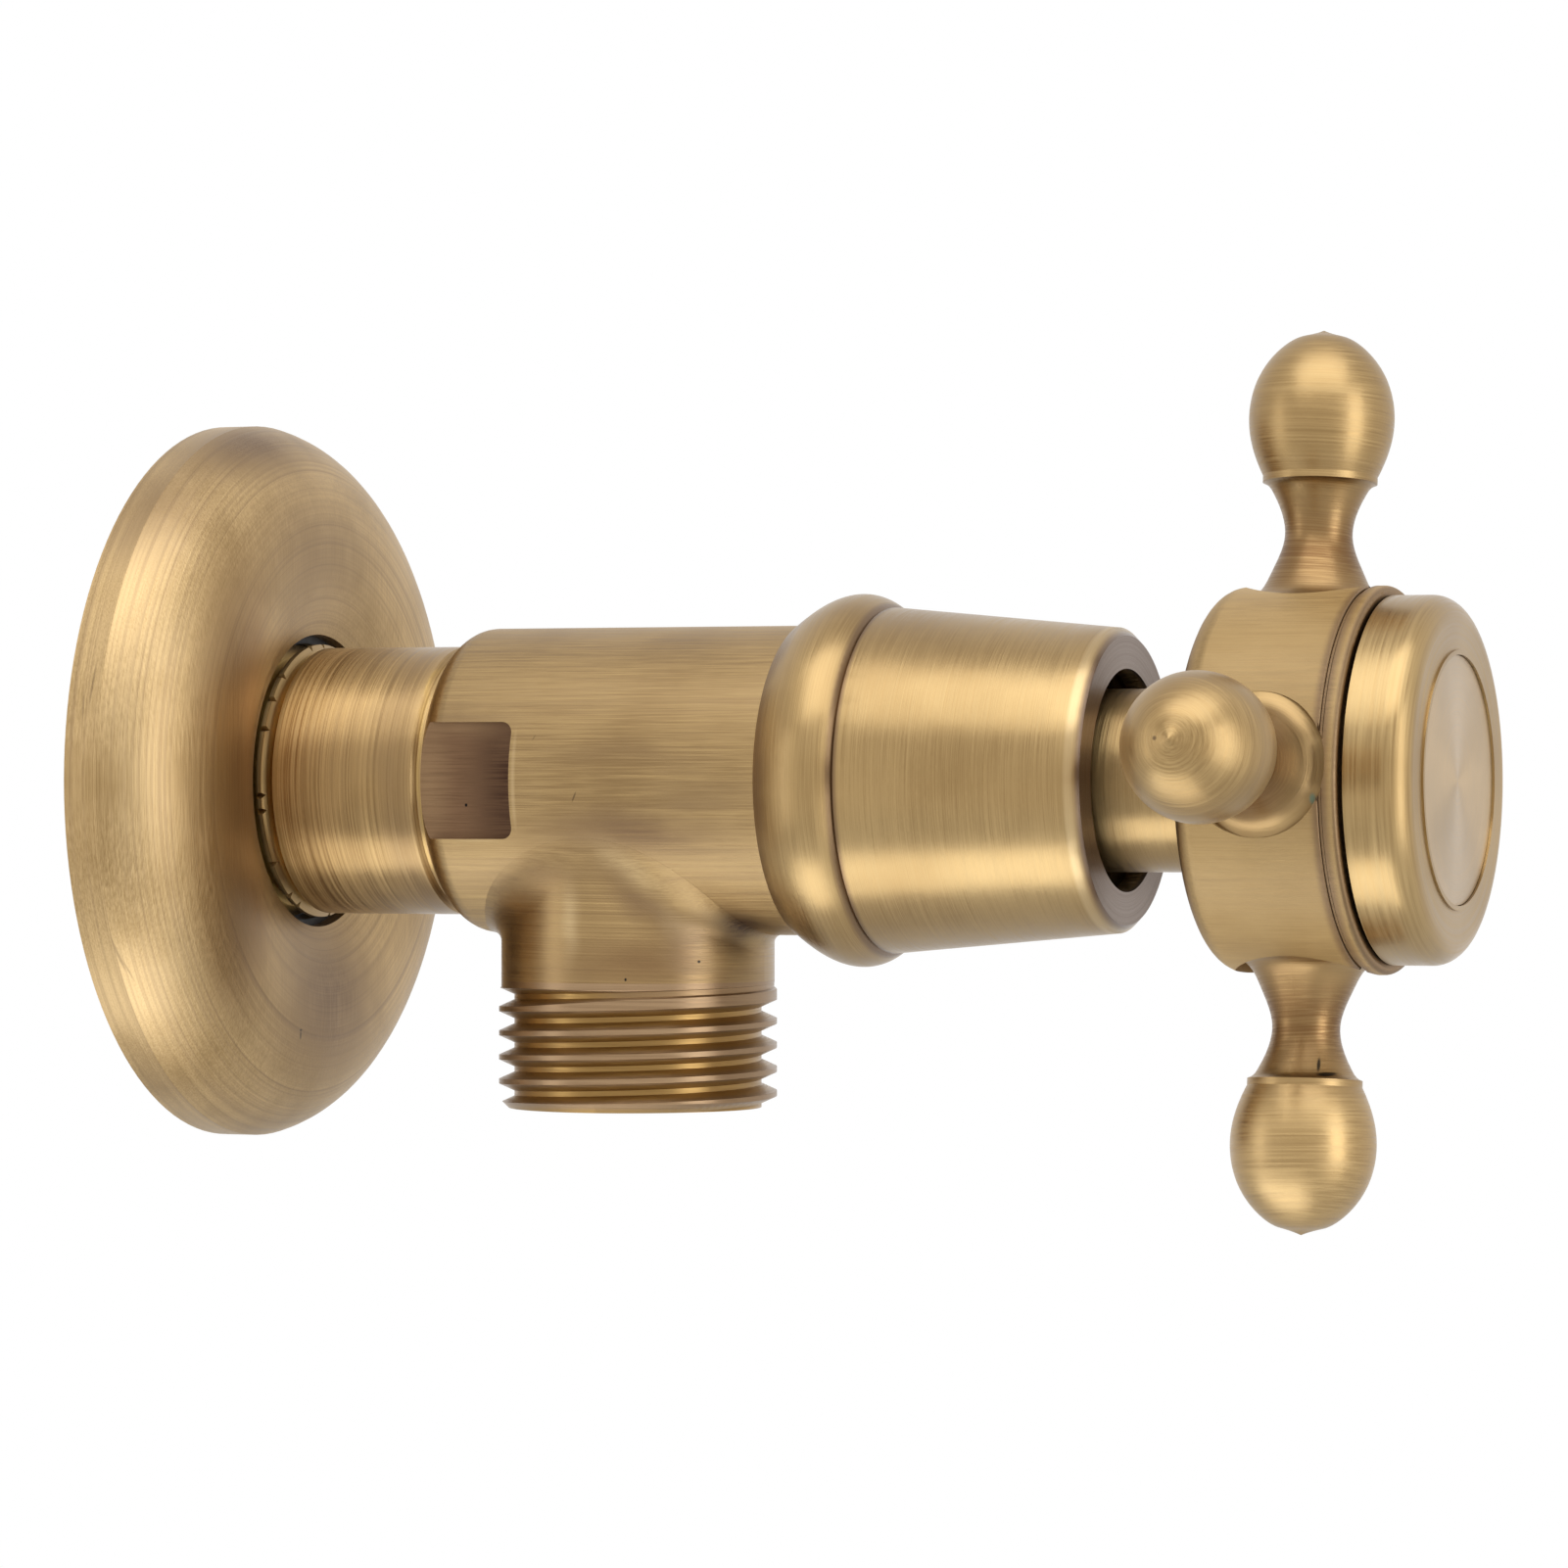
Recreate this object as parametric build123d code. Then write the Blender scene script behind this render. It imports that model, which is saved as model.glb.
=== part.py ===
from build123d import *
import math
import os

# Quarter-turn angle valve in brass, in millimetres.
# The wall plane is x = 0, the valve axis is +X towards the handle and the outlet points to -Z.

os.makedirs("parts", exist_ok=True)

# Pipe thread shared by inlet and outlet, drawn as level rings of the true pitch and depth
thread_radius = 10.4775
thread_pitch = 1.8143
thread_depth = 1.16
thread_land = 0.38
thread_chamfer = 0.7

# General clearances
fit_gap = 0.05
flat_gap = 0.2

# Valve body
inlet_reach = 8.0
inlet_thread_length = 16.4
shank_step = 0.28
shank_length = 12.2
shank_undercut = 0.35
body_swell = 1.25
body_wall = 2.55
body_tail = 3.93
body_corner = 2.2
bonnet_thread_step = 0.65
bonnet_thread_length = 5.2
outlet_lead = 3.17
outlet_drop = 24.6
outlet_thread_length = 8.3
outlet_boss_step = 0.18
outlet_blend = 1.3
seat_width = 3.0
outlet_wall = 2.5
seat_offset = 3.4
chamber_length = 18.0
tapping_step = 0.3
wrench_flat_depth = 1.2
wrench_flat_height = 8.7
wrench_flat_length = 8.0
wrench_flat_corner = 0.9

# Wall flange
flange_radius = 27.35
flange_wall = 1.2
flange_lip = 2.6
flange_shoulder_inset = 2.95
flange_shoulder_drop = 1.8
flange_height = 8.5
flange_crown_inset = 8.95
flange_mouth_drop = 1.2
flange_hole_gap = 0.77

# Bonnet cover
bonnet_length = 24.75
bonnet_lip_step = 0.3
bead_height = 1.95
bead_shoulder = 1.95
bead_shoulder_drop = 0.62
bead_centre = 3.6
bead_length = 6.5
cover_wall = 2.4
cone_drop = 1.65
bonnet_edge = 0.6
bonnet_end_wall = 1.6
cover_cavity_taper = 0.3
cover_clearance = 0.5

# Ceramic headwork
sleeve_gap = 0.4
sleeve_wall = 1.1
headwork_flange_step = 0.65
headwork_flange_thickness = 1.5
gasket_thickness = 0.8
hex_inset = 0.13
hex_length = 5.0
gland_wall = 2.4
gland_length = 5.2
seal_thickness = 2.9
seal_lift = 1.6
seal_width = 1.9
disc_gap = 0.4
fixed_disc_thickness = 2.2
moving_disc_thickness = 1.8
port_inner_radius = 1.8
port_width = 3.6
port_angle = 76
window_length = 4.9
window_angle = 80

# Spindle
stem_radius = 3.95
blade_width = 3.4
blade_margin = 1.1
blade_depth = 0.6
blade_height = 3.0
collar_gap = 0.9
collar_thickness = 1.6
washer_thickness = 0.6
o_ring_section = 0.5
o_ring_groove_slack = 0.2
o_ring_spacing = 4.0
o_ring_setback = 12.0
clip_thickness = 0.8
clip_depth = 0.75
clip_width = 2.2
spline_lead = 0.4
spline_teeth = 20
spline_depth = 0.35

# Handle
handle_turn_at_rest = -4.9
hub_radius = 14.0
hub_length = 12.4
hub_corner = 1.8
hub_bead = 1.15
hub_groove = 0.2
neck_gap = 1.47
neck_wall = 1.35
neck_length = 13.2
neck_standoff = 1.6
insert_lead = 2.3
hub_web = 2.3
insert_wall = 1.35
hub_rim = 2.45
cap_recess_depth = 2.4
arm_offset = 6.36
arm_seat_depth = 1.0
arm_base_radius = 5.15
arm_flare_length = 2.0
arm_flare_radius = 3.36
arm_waist_length = 4.9
arm_waist_radius = 2.44
arm_ridge_length = 8.6
arm_ridge_radius = 4.15
arm_ridge_width = 0.5
arm_ridge_step = 0.7
arm_throat = 0.6
knob_radius = 5.26
knob_length = 13.6
arm_length = 19.78
knob_shoulder_radius = 3.9
knob_shoulder_setback = 2.3
knob_tip_radius = 1.87
knob_tip_setback = 0.6
stud_radius = 2.4
stud_length = 5.6
screw_radius = 2.0
screw_length = 9.0
screw_head_radius = 3.6
screw_head_height = 2.6
socket_width = 2.5
socket_depth = 1.6
screw_washer_margin = 0.6
screw_washer_thickness = 0.6
cap_step = 0.7
cap_height = 4.6
cap_gap = 0.25
cap_edge = 1.8
cap_wall = 2.2
cap_face_width = 4.35
index_thickness = 1.1
index_rim = 0.35
index_rim_height = 0.15

# Radii that follow from the ones above
root_radius = thread_radius - thread_depth
shank_radius = thread_radius - shank_step
outlet_boss_radius = thread_radius - outlet_boss_step
outlet_bore_radius = root_radius - outlet_wall
body_radius = outlet_boss_radius + body_swell
chamber_radius = body_radius - body_wall
inlet_bore_radius = chamber_radius - seat_width
bonnet_thread_radius = body_radius - bonnet_thread_step
tapped_radius = chamber_radius + tapping_step
flange_hole_radius = thread_radius + flange_hole_gap
headwork_flange_radius = tapped_radius + headwork_flange_step
sleeve_radius = chamber_radius - sleeve_gap
sleeve_bore_radius = sleeve_radius - sleeve_wall
disc_radius = sleeve_bore_radius - disc_gap
seal_hole_radius = disc_radius - seal_width
port_outer_radius = port_inner_radius + port_width
collar_radius = sleeve_bore_radius - collar_gap
blade_length = 2 * (disc_radius - blade_margin)
guide_radius = stem_radius + fit_gap
gland_radius = guide_radius + gland_wall
clip_inner_radius = stem_radius - clip_depth
clip_radius = clip_inner_radius + clip_width
hex_radius = headwork_flange_radius - hex_inset
cover_cavity_radius = headwork_flange_radius + cover_clearance
insert_radius = stem_radius + insert_wall
neck_radius = insert_radius + fit_gap + neck_wall
bonnet_hole_radius = neck_radius + neck_gap
bonnet_lip_radius = body_radius + bonnet_lip_step
bead_radius = bonnet_lip_radius + bead_height
cone_start_radius = cover_cavity_radius + cover_wall
cone_end_radius = cone_start_radius - cone_drop
arm_seat_radius = hub_radius - arm_seat_depth
cap_recess_radius = hub_radius - hub_rim
cap_radius = hub_radius - cap_step
index_radius = cap_radius - cap_face_width
screw_washer_radius = screw_head_radius + screw_washer_margin

# Stations along the valve axis
shank_x = inlet_thread_length - inlet_reach
shoulder_x = shank_x + shank_length
outlet_x = shoulder_x + outlet_lead + outlet_boss_radius
bonnet_seat_x = outlet_x + outlet_boss_radius + body_tail
body_end_x = bonnet_seat_x + bonnet_thread_length
seat_x = shoulder_x + seat_offset
chamber_end_x = seat_x + chamber_length
bonnet_end_x = bonnet_seat_x + bonnet_length
sleeve_x = seat_x + seal_lift
fixed_disc_x = seat_x + seal_thickness
moving_disc_x = fixed_disc_x + fixed_disc_thickness
window_x = moving_disc_x + moving_disc_thickness
blade_x = window_x - blade_depth
collar_x = window_x + window_length
washer_x = collar_x + collar_thickness
cavity_end_x = washer_x + washer_thickness
headwork_seat_x = body_end_x + gasket_thickness
hex_x = headwork_seat_x + headwork_flange_thickness
gland_x = hex_x + hex_length
gland_end_x = gland_x + gland_length
neck_x = gland_end_x + neck_standoff
spline_x = neck_x - spline_lead
hub_x = neck_x + neck_length
hub_end_x = hub_x + hub_length
recess_x = hub_end_x - cap_recess_depth
arm_x = hub_x + arm_offset
spindle_end_x = hub_x + insert_lead
web_end_x = spindle_end_x + hub_web
screw_head_x = web_end_x + screw_washer_thickness
cap_x = hub_end_x + cap_gap
cap_end_x = cap_x + cap_height
index_x = cap_end_x - index_thickness


def tube(start, end, outer, inner=0.0):
    """A round bar or tube on the valve axis, between two stations."""
    bar = Pos((start + end) / 2, 0, 0) * Rot(Y=90) * Cylinder(outer, end - start)
    if inner == 0.0:
        return bar
    return bar - Pos((start + end) / 2, 0, 0) * Rot(Y=90) * Cylinder(inner, 3 * (end - start))


def turned(*edges):
    """Turn a half section, drawn as x and radius, about the valve axis."""
    closing = Line(edges[-1] @ 1, edges[0] @ 0)
    return revolve(make_face(Curve() + [*edges, closing]), Axis.X)


def section(*points):
    """Turn a half section that has straight sides only."""
    return revolve(make_face(Polyline(*points, close=True)), Axis.X)


def thread_outline(start, end):
    """Corner points of thread rings from the free end at start to the run-out at end."""
    sign = 1 if end > start else -1
    flank = (thread_pitch - 2 * thread_land) / 2
    points = [(start, thread_radius - thread_chamfer), (start + sign * thread_chamfer, thread_radius)]
    turns = int((abs(end - start) - thread_chamfer) / thread_pitch)
    first = start + sign * thread_chamfer
    for turn in range(turns):
        crest = first + sign * turn * thread_pitch
        points.append((crest + sign * thread_land, thread_radius))
        points.append((crest + sign * (thread_land + flank), root_radius))
        points.append((crest + sign * (2 * thread_land + flank), root_radius))
        points.append((crest + sign * thread_pitch, thread_radius))
    last = first + sign * (turns * thread_pitch + thread_land)
    points.append((last, thread_radius))
    points.append((last + sign * flank, root_radius))
    return points


def sector_ports(start, end, turn):
    """Two opposite quarter ports through a disc, turned about the valve axis."""
    ring = tube(start, end, port_outer_radius, port_inner_radius)
    half = math.radians(port_angle / 2)
    reach = 2 * port_outer_radius
    across, along = reach * math.sin(half), reach * math.cos(half)
    wedge = extrude(make_face(Polyline((0, 0), (along, across), (along, -across), close=True)), end - start)
    upright = Pos(start, 0, 0) * Rot(Y=90) * wedge
    ports = [ring & (Rot(X=turn + side) * upright) for side in (0, 180)]
    return ports


def splined_bar(start, end, radius, depth):
    """A bar with straight teeth, as on a valve spindle."""
    corners = []
    for tooth in range(spline_teeth):
        angle = 2 * math.pi * tooth / spline_teeth
        half = math.pi / spline_teeth
        corners.append(((radius - depth) * math.cos(angle), (radius - depth) * math.sin(angle)))
        corners.append((radius * math.cos(angle + half * 0.7), radius * math.sin(angle + half * 0.7)))
        corners.append((radius * math.cos(angle + half * 1.3), radius * math.sin(angle + half * 1.3)))
    bar = extrude(make_face(Polyline(*corners, close=True)), end - start)
    return Pos(start, 0, 0) * Rot(Y=90) * bar


def wrench_flat(side):
    """The cutter for one milled flat beside the shank, open towards the wall."""
    depth = 2 * wrench_flat_depth
    block = Box(2 * wrench_flat_length, depth, wrench_flat_height)
    block = Pos(shoulder_x, 0, 0) * block
    corners = block.edges().filter_by(Axis.Y).group_by(Axis.X)[-1]
    block = fillet(corners, wrench_flat_corner)
    return Pos(0, side * (body_radius - wrench_flat_depth + depth / 2), 0) * block


def valve_body():
    """Inlet shank, body and outlet in one piece, bored through."""
    undercut = shank_radius - shank_undercut
    outline = [(-inlet_reach, 0)] + thread_outline(-inlet_reach, shank_x - thread_land)
    outline += [(shank_x, root_radius), (shank_x, shank_radius)]
    outline += [(shoulder_x - 2 * shank_undercut, shank_radius)]
    outline += [(shoulder_x - shank_undercut, undercut), (shoulder_x, undercut), (shoulder_x, 0)]
    shank = section(*outline)
    barrel = tube(shoulder_x, bonnet_seat_x, body_radius)
    barrel = fillet(barrel.edges().group_by(Axis.X)[0], body_corner)
    boss_end = outlet_drop - outlet_thread_length - thread_pitch / 2
    boss = Pos(outlet_x, 0, -boss_end / 2) * Cylinder(outlet_boss_radius, boss_end)
    tee = barrel + boss
    saddle = [edge for edge in tee.edges() if edge.geom_type not in (GeomType.CIRCLE, GeomType.LINE)]
    tee = fillet(saddle, outlet_blend)
    points = [(outlet_drop, 0)] + thread_outline(outlet_drop, outlet_drop - outlet_thread_length)
    points += [(boss_end, root_radius), (boss_end, 0)]
    outlet = Pos(outlet_x, 0, 0) * Rot(Y=90) * section(*points)
    spigot = tube(bonnet_seat_x, body_end_x, bonnet_thread_radius)
    body = tee + shank + outlet + spigot
    body -= tube(-2 * inlet_reach, seat_x, inlet_bore_radius)
    body -= tube(seat_x, chamber_end_x, chamber_radius)
    body -= tube(chamber_end_x, body_end_x + 1, tapped_radius)
    body -= Pos(outlet_x, 0, -outlet_drop) * Cylinder(outlet_bore_radius, 2 * outlet_drop)
    for side in (-1, 1):
        body -= wrench_flat(side)
    return body


def dome_line(inset):
    """The curved half section of the flange, at a depth under its outer surface."""
    crown = flange_height - inset
    points = [
        (flange_lip - inset / 2, flange_radius - inset),
        (crown - flange_shoulder_drop, flange_radius - flange_shoulder_inset - inset / 2),
        (crown, flange_radius - flange_crown_inset),
        (crown - flange_mouth_drop, flange_hole_radius),
    ]
    return Spline(*points)


def wall_flange():
    """Domed cover plate with a plain rim on the wall and a clearance hole for the shank."""
    outer = dome_line(0)
    inner = dome_line(flange_wall)
    rim = Line((0, flange_radius), outer @ 0)
    mouth = Line(outer @ 1, inner @ 1)
    inner_rim = Line(inner @ 0, (0, flange_radius - flange_wall))
    foot = Line(inner_rim @ 1, (0, flange_radius))
    return revolve(make_face(Curve() + [rim, outer, mouth, inner, inner_rim, foot]), Axis.X)


def bonnet_cover():
    """Conical cover with a rolled bead, screwed over the end of the body."""
    bore_radius = bonnet_thread_radius + fit_gap
    wall_x = bonnet_end_x - bonnet_end_wall
    cavity_x = body_end_x + thread_pitch
    lip = Line((bonnet_seat_x, bore_radius), (bonnet_seat_x, bonnet_lip_radius))
    bead = Spline(
        lip @ 1,
        (bonnet_seat_x + bead_shoulder, bead_radius - bead_shoulder_drop),
        (bonnet_seat_x + bead_centre, bead_radius),
        (bonnet_seat_x + bead_length, cone_start_radius),
    )
    outside = Polyline(
        bead @ 1,
        (bonnet_end_x - bonnet_edge, cone_end_radius),
        (bonnet_end_x, cone_end_radius - bonnet_edge),
        (bonnet_end_x, bonnet_hole_radius),
    )
    inside = Polyline(
        outside @ 1,
        (wall_x, bonnet_hole_radius),
        (wall_x, cover_cavity_radius - cover_cavity_taper),
        (cavity_x, cover_cavity_radius),
        (cavity_x, bore_radius),
        lip @ 0,
    )
    return revolve(make_face(Curve() + [lip, bead, outside, inside]), Axis.X)


def headwork_body():
    """Brass headwork: windowed sleeve, screwed shank, flange, hexagon and gland."""
    sleeve = tube(sleeve_x, chamber_end_x, sleeve_radius)
    shank = tube(chamber_end_x, headwork_seat_x, tapped_radius - fit_gap)
    flange = tube(headwork_seat_x, hex_x, headwork_flange_radius)
    hexagon = extrude(RegularPolygon(hex_radius, 6), hex_length)
    hexagon = Pos(hex_x, 0, 0) * Rot(Y=90) * hexagon
    gland = tube(gland_x, gland_end_x, gland_radius)
    headwork = sleeve + shank + flange + hexagon + gland
    headwork -= tube(sleeve_x - 1, cavity_end_x, sleeve_bore_radius)
    headwork -= tube(cavity_end_x, gland_end_x + 1, guide_radius)
    half = math.radians(window_angle / 2)
    window = Box(window_length, 2 * sleeve_radius * math.sin(half), 4 * sleeve_radius)
    return headwork - Pos(window_x + window_length / 2, 0, 0) * window


def headwork_gasket():
    """Flat ring under the headwork flange."""
    return tube(body_end_x, headwork_seat_x, headwork_flange_radius, tapped_radius)


def seat_seal():
    """Rubber ring pressed between the valve seat and the fixed disc."""
    return tube(seat_x, fixed_disc_x, disc_radius, seal_hole_radius)


def fixed_disc():
    """Lower ceramic disc, keyed in the sleeve."""
    disc = tube(fixed_disc_x, moving_disc_x, disc_radius)
    return disc - sector_ports(fixed_disc_x, moving_disc_x, 90)


def moving_disc():
    """Upper ceramic disc, turned by the spindle and closed at rest."""
    end = moving_disc_x + moving_disc_thickness
    disc = tube(moving_disc_x, end, disc_radius)
    disc -= sector_ports(moving_disc_x, end, 0)
    slot = Box(2 * blade_depth, 2 * disc_radius, blade_width + 2 * fit_gap)
    return disc - Pos(end, 0, 0) * slot


def spindle():
    """Spindle with drive blade, thrust collar, ring grooves, clip groove and splined end."""
    blade = Box(blade_height, blade_length, blade_width)
    bar = Pos(blade_x + blade_height / 2, 0, 0) * blade
    bar += tube(blade_x + blade_height / 2, spline_x, stem_radius)
    bar += tube(collar_x, washer_x, collar_radius)
    bar += splined_bar(spline_x, spindle_end_x, stem_radius, spline_depth)
    groove_radius = stem_radius - 2 * o_ring_section
    for ring_x in o_ring_stations():
        half_width = o_ring_section + o_ring_groove_slack / 2
        bar -= tube(ring_x - half_width, ring_x + half_width, 2 * stem_radius, groove_radius)
    bar -= tube(gland_end_x, gland_end_x + clip_thickness, 2 * stem_radius, clip_inner_radius)
    return bar - tube(spindle_end_x - screw_length, spindle_end_x + 1, screw_radius + fit_gap)


def o_ring_stations():
    """Stations of the two spindle seals."""
    first = gland_end_x - o_ring_setback
    return [first, first + o_ring_spacing]


def spindle_o_rings():
    """Two rubber rings in the spindle grooves."""
    centre = stem_radius - o_ring_section
    ring = Rot(Y=90) * Torus(centre, o_ring_section)
    return Compound([Pos(ring_x, 0, 0) * ring for ring_x in o_ring_stations()])


def spindle_clip():
    """Open retaining clip in the spindle groove, on the end of the gland."""
    clip = tube(gland_end_x, gland_end_x + clip_thickness, clip_radius, clip_inner_radius)
    mouth = Box(3 * clip_thickness, stem_radius, 2 * clip_radius)
    return clip - Pos(gland_end_x + clip_thickness / 2, 0, clip_radius) * mouth


def thrust_washer():
    """Low-friction washer between the spindle collar and the headwork."""
    return tube(washer_x, cavity_end_x, disc_radius, guide_radius)


def handle_hub():
    """Drum with a bead at its front, a long neck and seats for four arms."""
    drum = tube(hub_x, hub_end_x, hub_radius)
    drum = fillet(drum.edges().group_by(Axis.X)[0], hub_corner)
    drum = fillet(drum.edges().group_by(Axis.X)[-1], (hub_bead - flat_gap) / 2)
    bead_x = hub_end_x - hub_bead
    drum -= tube(bead_x - hub_groove, bead_x, 2 * hub_radius, hub_radius - hub_groove)
    hub = drum + tube(neck_x, hub_x + hub_corner, neck_radius)
    hub -= tube(neck_x - 1, spindle_end_x, insert_radius + fit_gap)
    hub -= tube(spindle_end_x, web_end_x, screw_radius + flat_gap)
    hub -= tube(web_end_x, recess_x, screw_washer_radius + flat_gap)
    hub -= tube(recess_x, hub_end_x + 1, cap_recess_radius)
    seat_depth = 2 * (hub_radius - arm_seat_radius)
    seat = Cylinder(arm_base_radius + fit_gap, seat_depth, align=(Align.CENTER, Align.CENTER, Align.MIN))
    tapping = Cylinder(stud_radius + fit_gap, stud_length, align=(Align.CENTER, Align.CENTER, Align.MAX))
    for turn in arm_turns().values():
        place = Pos(arm_x, 0, 0) * Rot(X=turn) * Pos(0, 0, arm_seat_radius)
        hub -= place * seat
        hub -= place * tapping
    return hub


def spline_insert():
    """Plastic bush that carries the hub on the spindle splines."""
    bush = tube(neck_x + flat_gap, spindle_end_x, insert_radius)
    bore = splined_bar(neck_x, spindle_end_x + 1, stem_radius + fit_gap, spline_depth)
    return bush - bore


def handle_screw():
    """Socket head screw that holds the handle on the spindle."""
    screw = tube(spindle_end_x - screw_length + flat_gap, screw_head_x, screw_radius)
    screw += tube(screw_head_x, screw_head_x + screw_head_height, screw_head_radius)
    socket = extrude(RegularPolygon(socket_width / 2, 6, major_radius=False), socket_depth + 1)
    return screw - Pos(screw_head_x + screw_head_height - socket_depth, 0, 0) * Rot(Y=90) * socket


def screw_washer():
    """Plain washer under the screw head."""
    return tube(web_end_x, screw_head_x, screw_washer_radius, screw_radius + flat_gap)


def arm_turns():
    """Turn of each arm about the valve axis, by name."""
    names = ("arm_top", "arm_near", "arm_bottom", "arm_far")
    return {name: handle_turn_at_rest + 90 * place for place, name in enumerate(names)}


def handle_arm(turn):
    """Turned arm: threaded stud, flared foot, waist, ridge and pointed knob."""
    seat = arm_seat_radius
    stud_end = seat - stud_length + flat_gap
    ridge_start = seat + arm_ridge_length
    ridge_end = ridge_start + arm_ridge_width
    tip = seat + arm_length
    throat_radius = arm_ridge_radius - arm_ridge_step
    stud = Polyline((stud_end, 0), (stud_end, stud_radius), (seat, stud_radius), (seat, arm_base_radius))
    waist = Spline(
        stud @ 1,
        (seat + arm_flare_length, arm_flare_radius),
        (seat + arm_waist_length, arm_waist_radius),
        (ridge_start - arm_throat, throat_radius),
        (ridge_start, arm_ridge_radius),
        tangents=((0.25, -1), (0.3, 1)),
    )
    ridge = Line(waist @ 1, (ridge_end, arm_ridge_radius))
    knob = Spline(
        ridge @ 1,
        (seat + knob_length, knob_radius),
        (tip - knob_shoulder_setback, knob_shoulder_radius),
        (tip - knob_tip_setback, knob_tip_radius),
        (tip, 0),
        tangents=((1, 0.5), (0.45, -1)),
    )
    arm = turned(stud, waist, ridge, knob)
    return Pos(arm_x, 0, 0) * Rot(X=turn) * Rot(Y=-90) * arm


def handle_cap():
    """Round-edged cap with a plug for the hub recess and a seat for the index disc."""
    cap = tube(cap_x, cap_end_x, cap_radius)
    cap = fillet(cap.edges().group_by(Axis.X)[-1], cap_edge)
    rim_radius = index_radius + fit_gap + index_rim
    cap += tube(cap_end_x - index_rim_height, cap_end_x + index_rim_height, rim_radius)
    plug_radius = cap_recess_radius - fit_gap
    cap += tube(recess_x, cap_x + fit_gap, plug_radius)
    cap -= tube(index_x, cap_end_x + 1, index_radius + fit_gap)
    return cap - tube(recess_x - 1, index_x - cap_wall, plug_radius - cap_wall)


def index_disc():
    """Bare brass disc set in the front of the cap."""
    return tube(index_x, cap_end_x - fit_gap, index_radius)


def build():
    """Every piece by its node name, in place."""
    pieces = {
        "valve_body": valve_body(),
        "wall_flange": wall_flange(),
        "bonnet_cover": bonnet_cover(),
        "headwork_body": headwork_body(),
        "headwork_gasket": headwork_gasket(),
        "seat_seal": seat_seal(),
        "fixed_disc": fixed_disc(),
        "moving_disc": moving_disc(),
        "thrust_washer": thrust_washer(),
        "spindle": spindle(),
        "spindle_o_rings": spindle_o_rings(),
        "spindle_clip": spindle_clip(),
        "handle_hub": handle_hub(),
        "spline_insert": spline_insert(),
        "handle_screw": handle_screw(),
        "screw_washer": screw_washer(),
        "handle_cap": handle_cap(),
        "index_disc": index_disc(),
    }
    for name, turn in arm_turns().items():
        pieces[name] = handle_arm(turn)
    return pieces


for name, piece in build().items():
    export_step(piece, f"parts/{name}.step")
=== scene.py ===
import logging
import math
from dataclasses import dataclass, field
from enum import Enum
from typing import Optional, Sequence

import bmesh
import bpy
from mathutils import Matrix, Vector
from mathutils.bvhtree import BVHTree
from mathutils.interpolate import poly_3d_calc


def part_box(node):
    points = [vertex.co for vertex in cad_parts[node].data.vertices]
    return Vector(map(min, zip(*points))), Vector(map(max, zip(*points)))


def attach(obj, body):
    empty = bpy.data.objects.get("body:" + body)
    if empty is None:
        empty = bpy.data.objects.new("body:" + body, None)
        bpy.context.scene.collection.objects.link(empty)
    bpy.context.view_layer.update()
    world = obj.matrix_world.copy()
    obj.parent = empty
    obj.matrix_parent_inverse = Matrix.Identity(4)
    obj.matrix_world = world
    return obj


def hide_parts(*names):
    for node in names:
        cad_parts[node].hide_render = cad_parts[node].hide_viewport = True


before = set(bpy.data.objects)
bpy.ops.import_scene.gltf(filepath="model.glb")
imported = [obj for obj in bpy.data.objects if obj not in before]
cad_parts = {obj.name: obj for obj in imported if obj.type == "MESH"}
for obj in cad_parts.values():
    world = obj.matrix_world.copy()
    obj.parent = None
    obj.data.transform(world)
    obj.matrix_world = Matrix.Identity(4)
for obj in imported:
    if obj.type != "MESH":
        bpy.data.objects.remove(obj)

logging.basicConfig(level=logging.INFO, format="%(levelname)s %(message)s")
log = logging.getLogger("angle_valve")

MM = 0.001
ENDLESS = 1000.0
TOUCHING = 0.0005
# Patina brown, which also paints shade where marks of this colour darken rings and bands.
PATINA_AND_SHADE = (0.150, 0.085, 0.043)
UMBER = (0.060, 0.032, 0.018)
TAN = (0.165, 0.080, 0.024)
GRIME = (0.006, 0.005, 0.004)
# Light brass that paints highlights and bright edge lines onto the surfaces.
PAINTED_HIGHLIGHT = (0.560, 0.405, 0.210)
CAST_DARK = (0.245, 0.150, 0.060)
# A lighter copy of the arm brass for the bottom arm: painted light.
LIT_ARM_TONES = {"arm_bottom": ((0.466, 0.312, 0.135), (0.328, 0.206, 0.080))}
NODE_FINISHES = {
    "valve_body": "body_brass_axial",
    "wall_flange": "flange_brass_spun",
    "bonnet_cover": "cover_brass_turned",
    "headwork_body": "raw_brass_turned",
    "headwork_gasket": "fibre_red",
    "seat_seal": "rubber_black",
    "fixed_disc": "ceramic_white",
    "moving_disc": "ceramic_white",
    "thrust_washer": "bearing_cream",
    "spindle": "raw_brass_turned",
    "spindle_o_rings": "rubber_black",
    "spindle_clip": "steel_bright",
    "handle_hub": "hub_brass_axial",
    "spline_insert": "bearing_cream",
    "handle_screw": "steel_bright",
    "screw_washer": "steel_bright",
    "handle_cap": "cap_brass_turned",
    "index_disc": "disc_brass_spun",
    "arm_top": "arm_top_brass",
    "arm_near": "arm_near_brass",
    "arm_bottom": "arm_bottom_brass",
    "arm_far": "arm_far_brass",
}
Colour = tuple[float, float, float]
Point = tuple[float, float]
Place = tuple[float, float, float]


class Lay(Enum):
    """Which way the polishing strokes run on a piece."""

    ALONG = "along the piece's axis"
    TURNED = "round the piece's axis"


@dataclass(frozen=True)
class Axis:
    """The line that a piece is turned or brushed about, in the row frame, in millimetres."""

    direction: Place = (1.0, 0.0, 0.0)
    point: Place = (0.0, 0.0, 0.0)


VALVE_AXIS = Axis()


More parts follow.
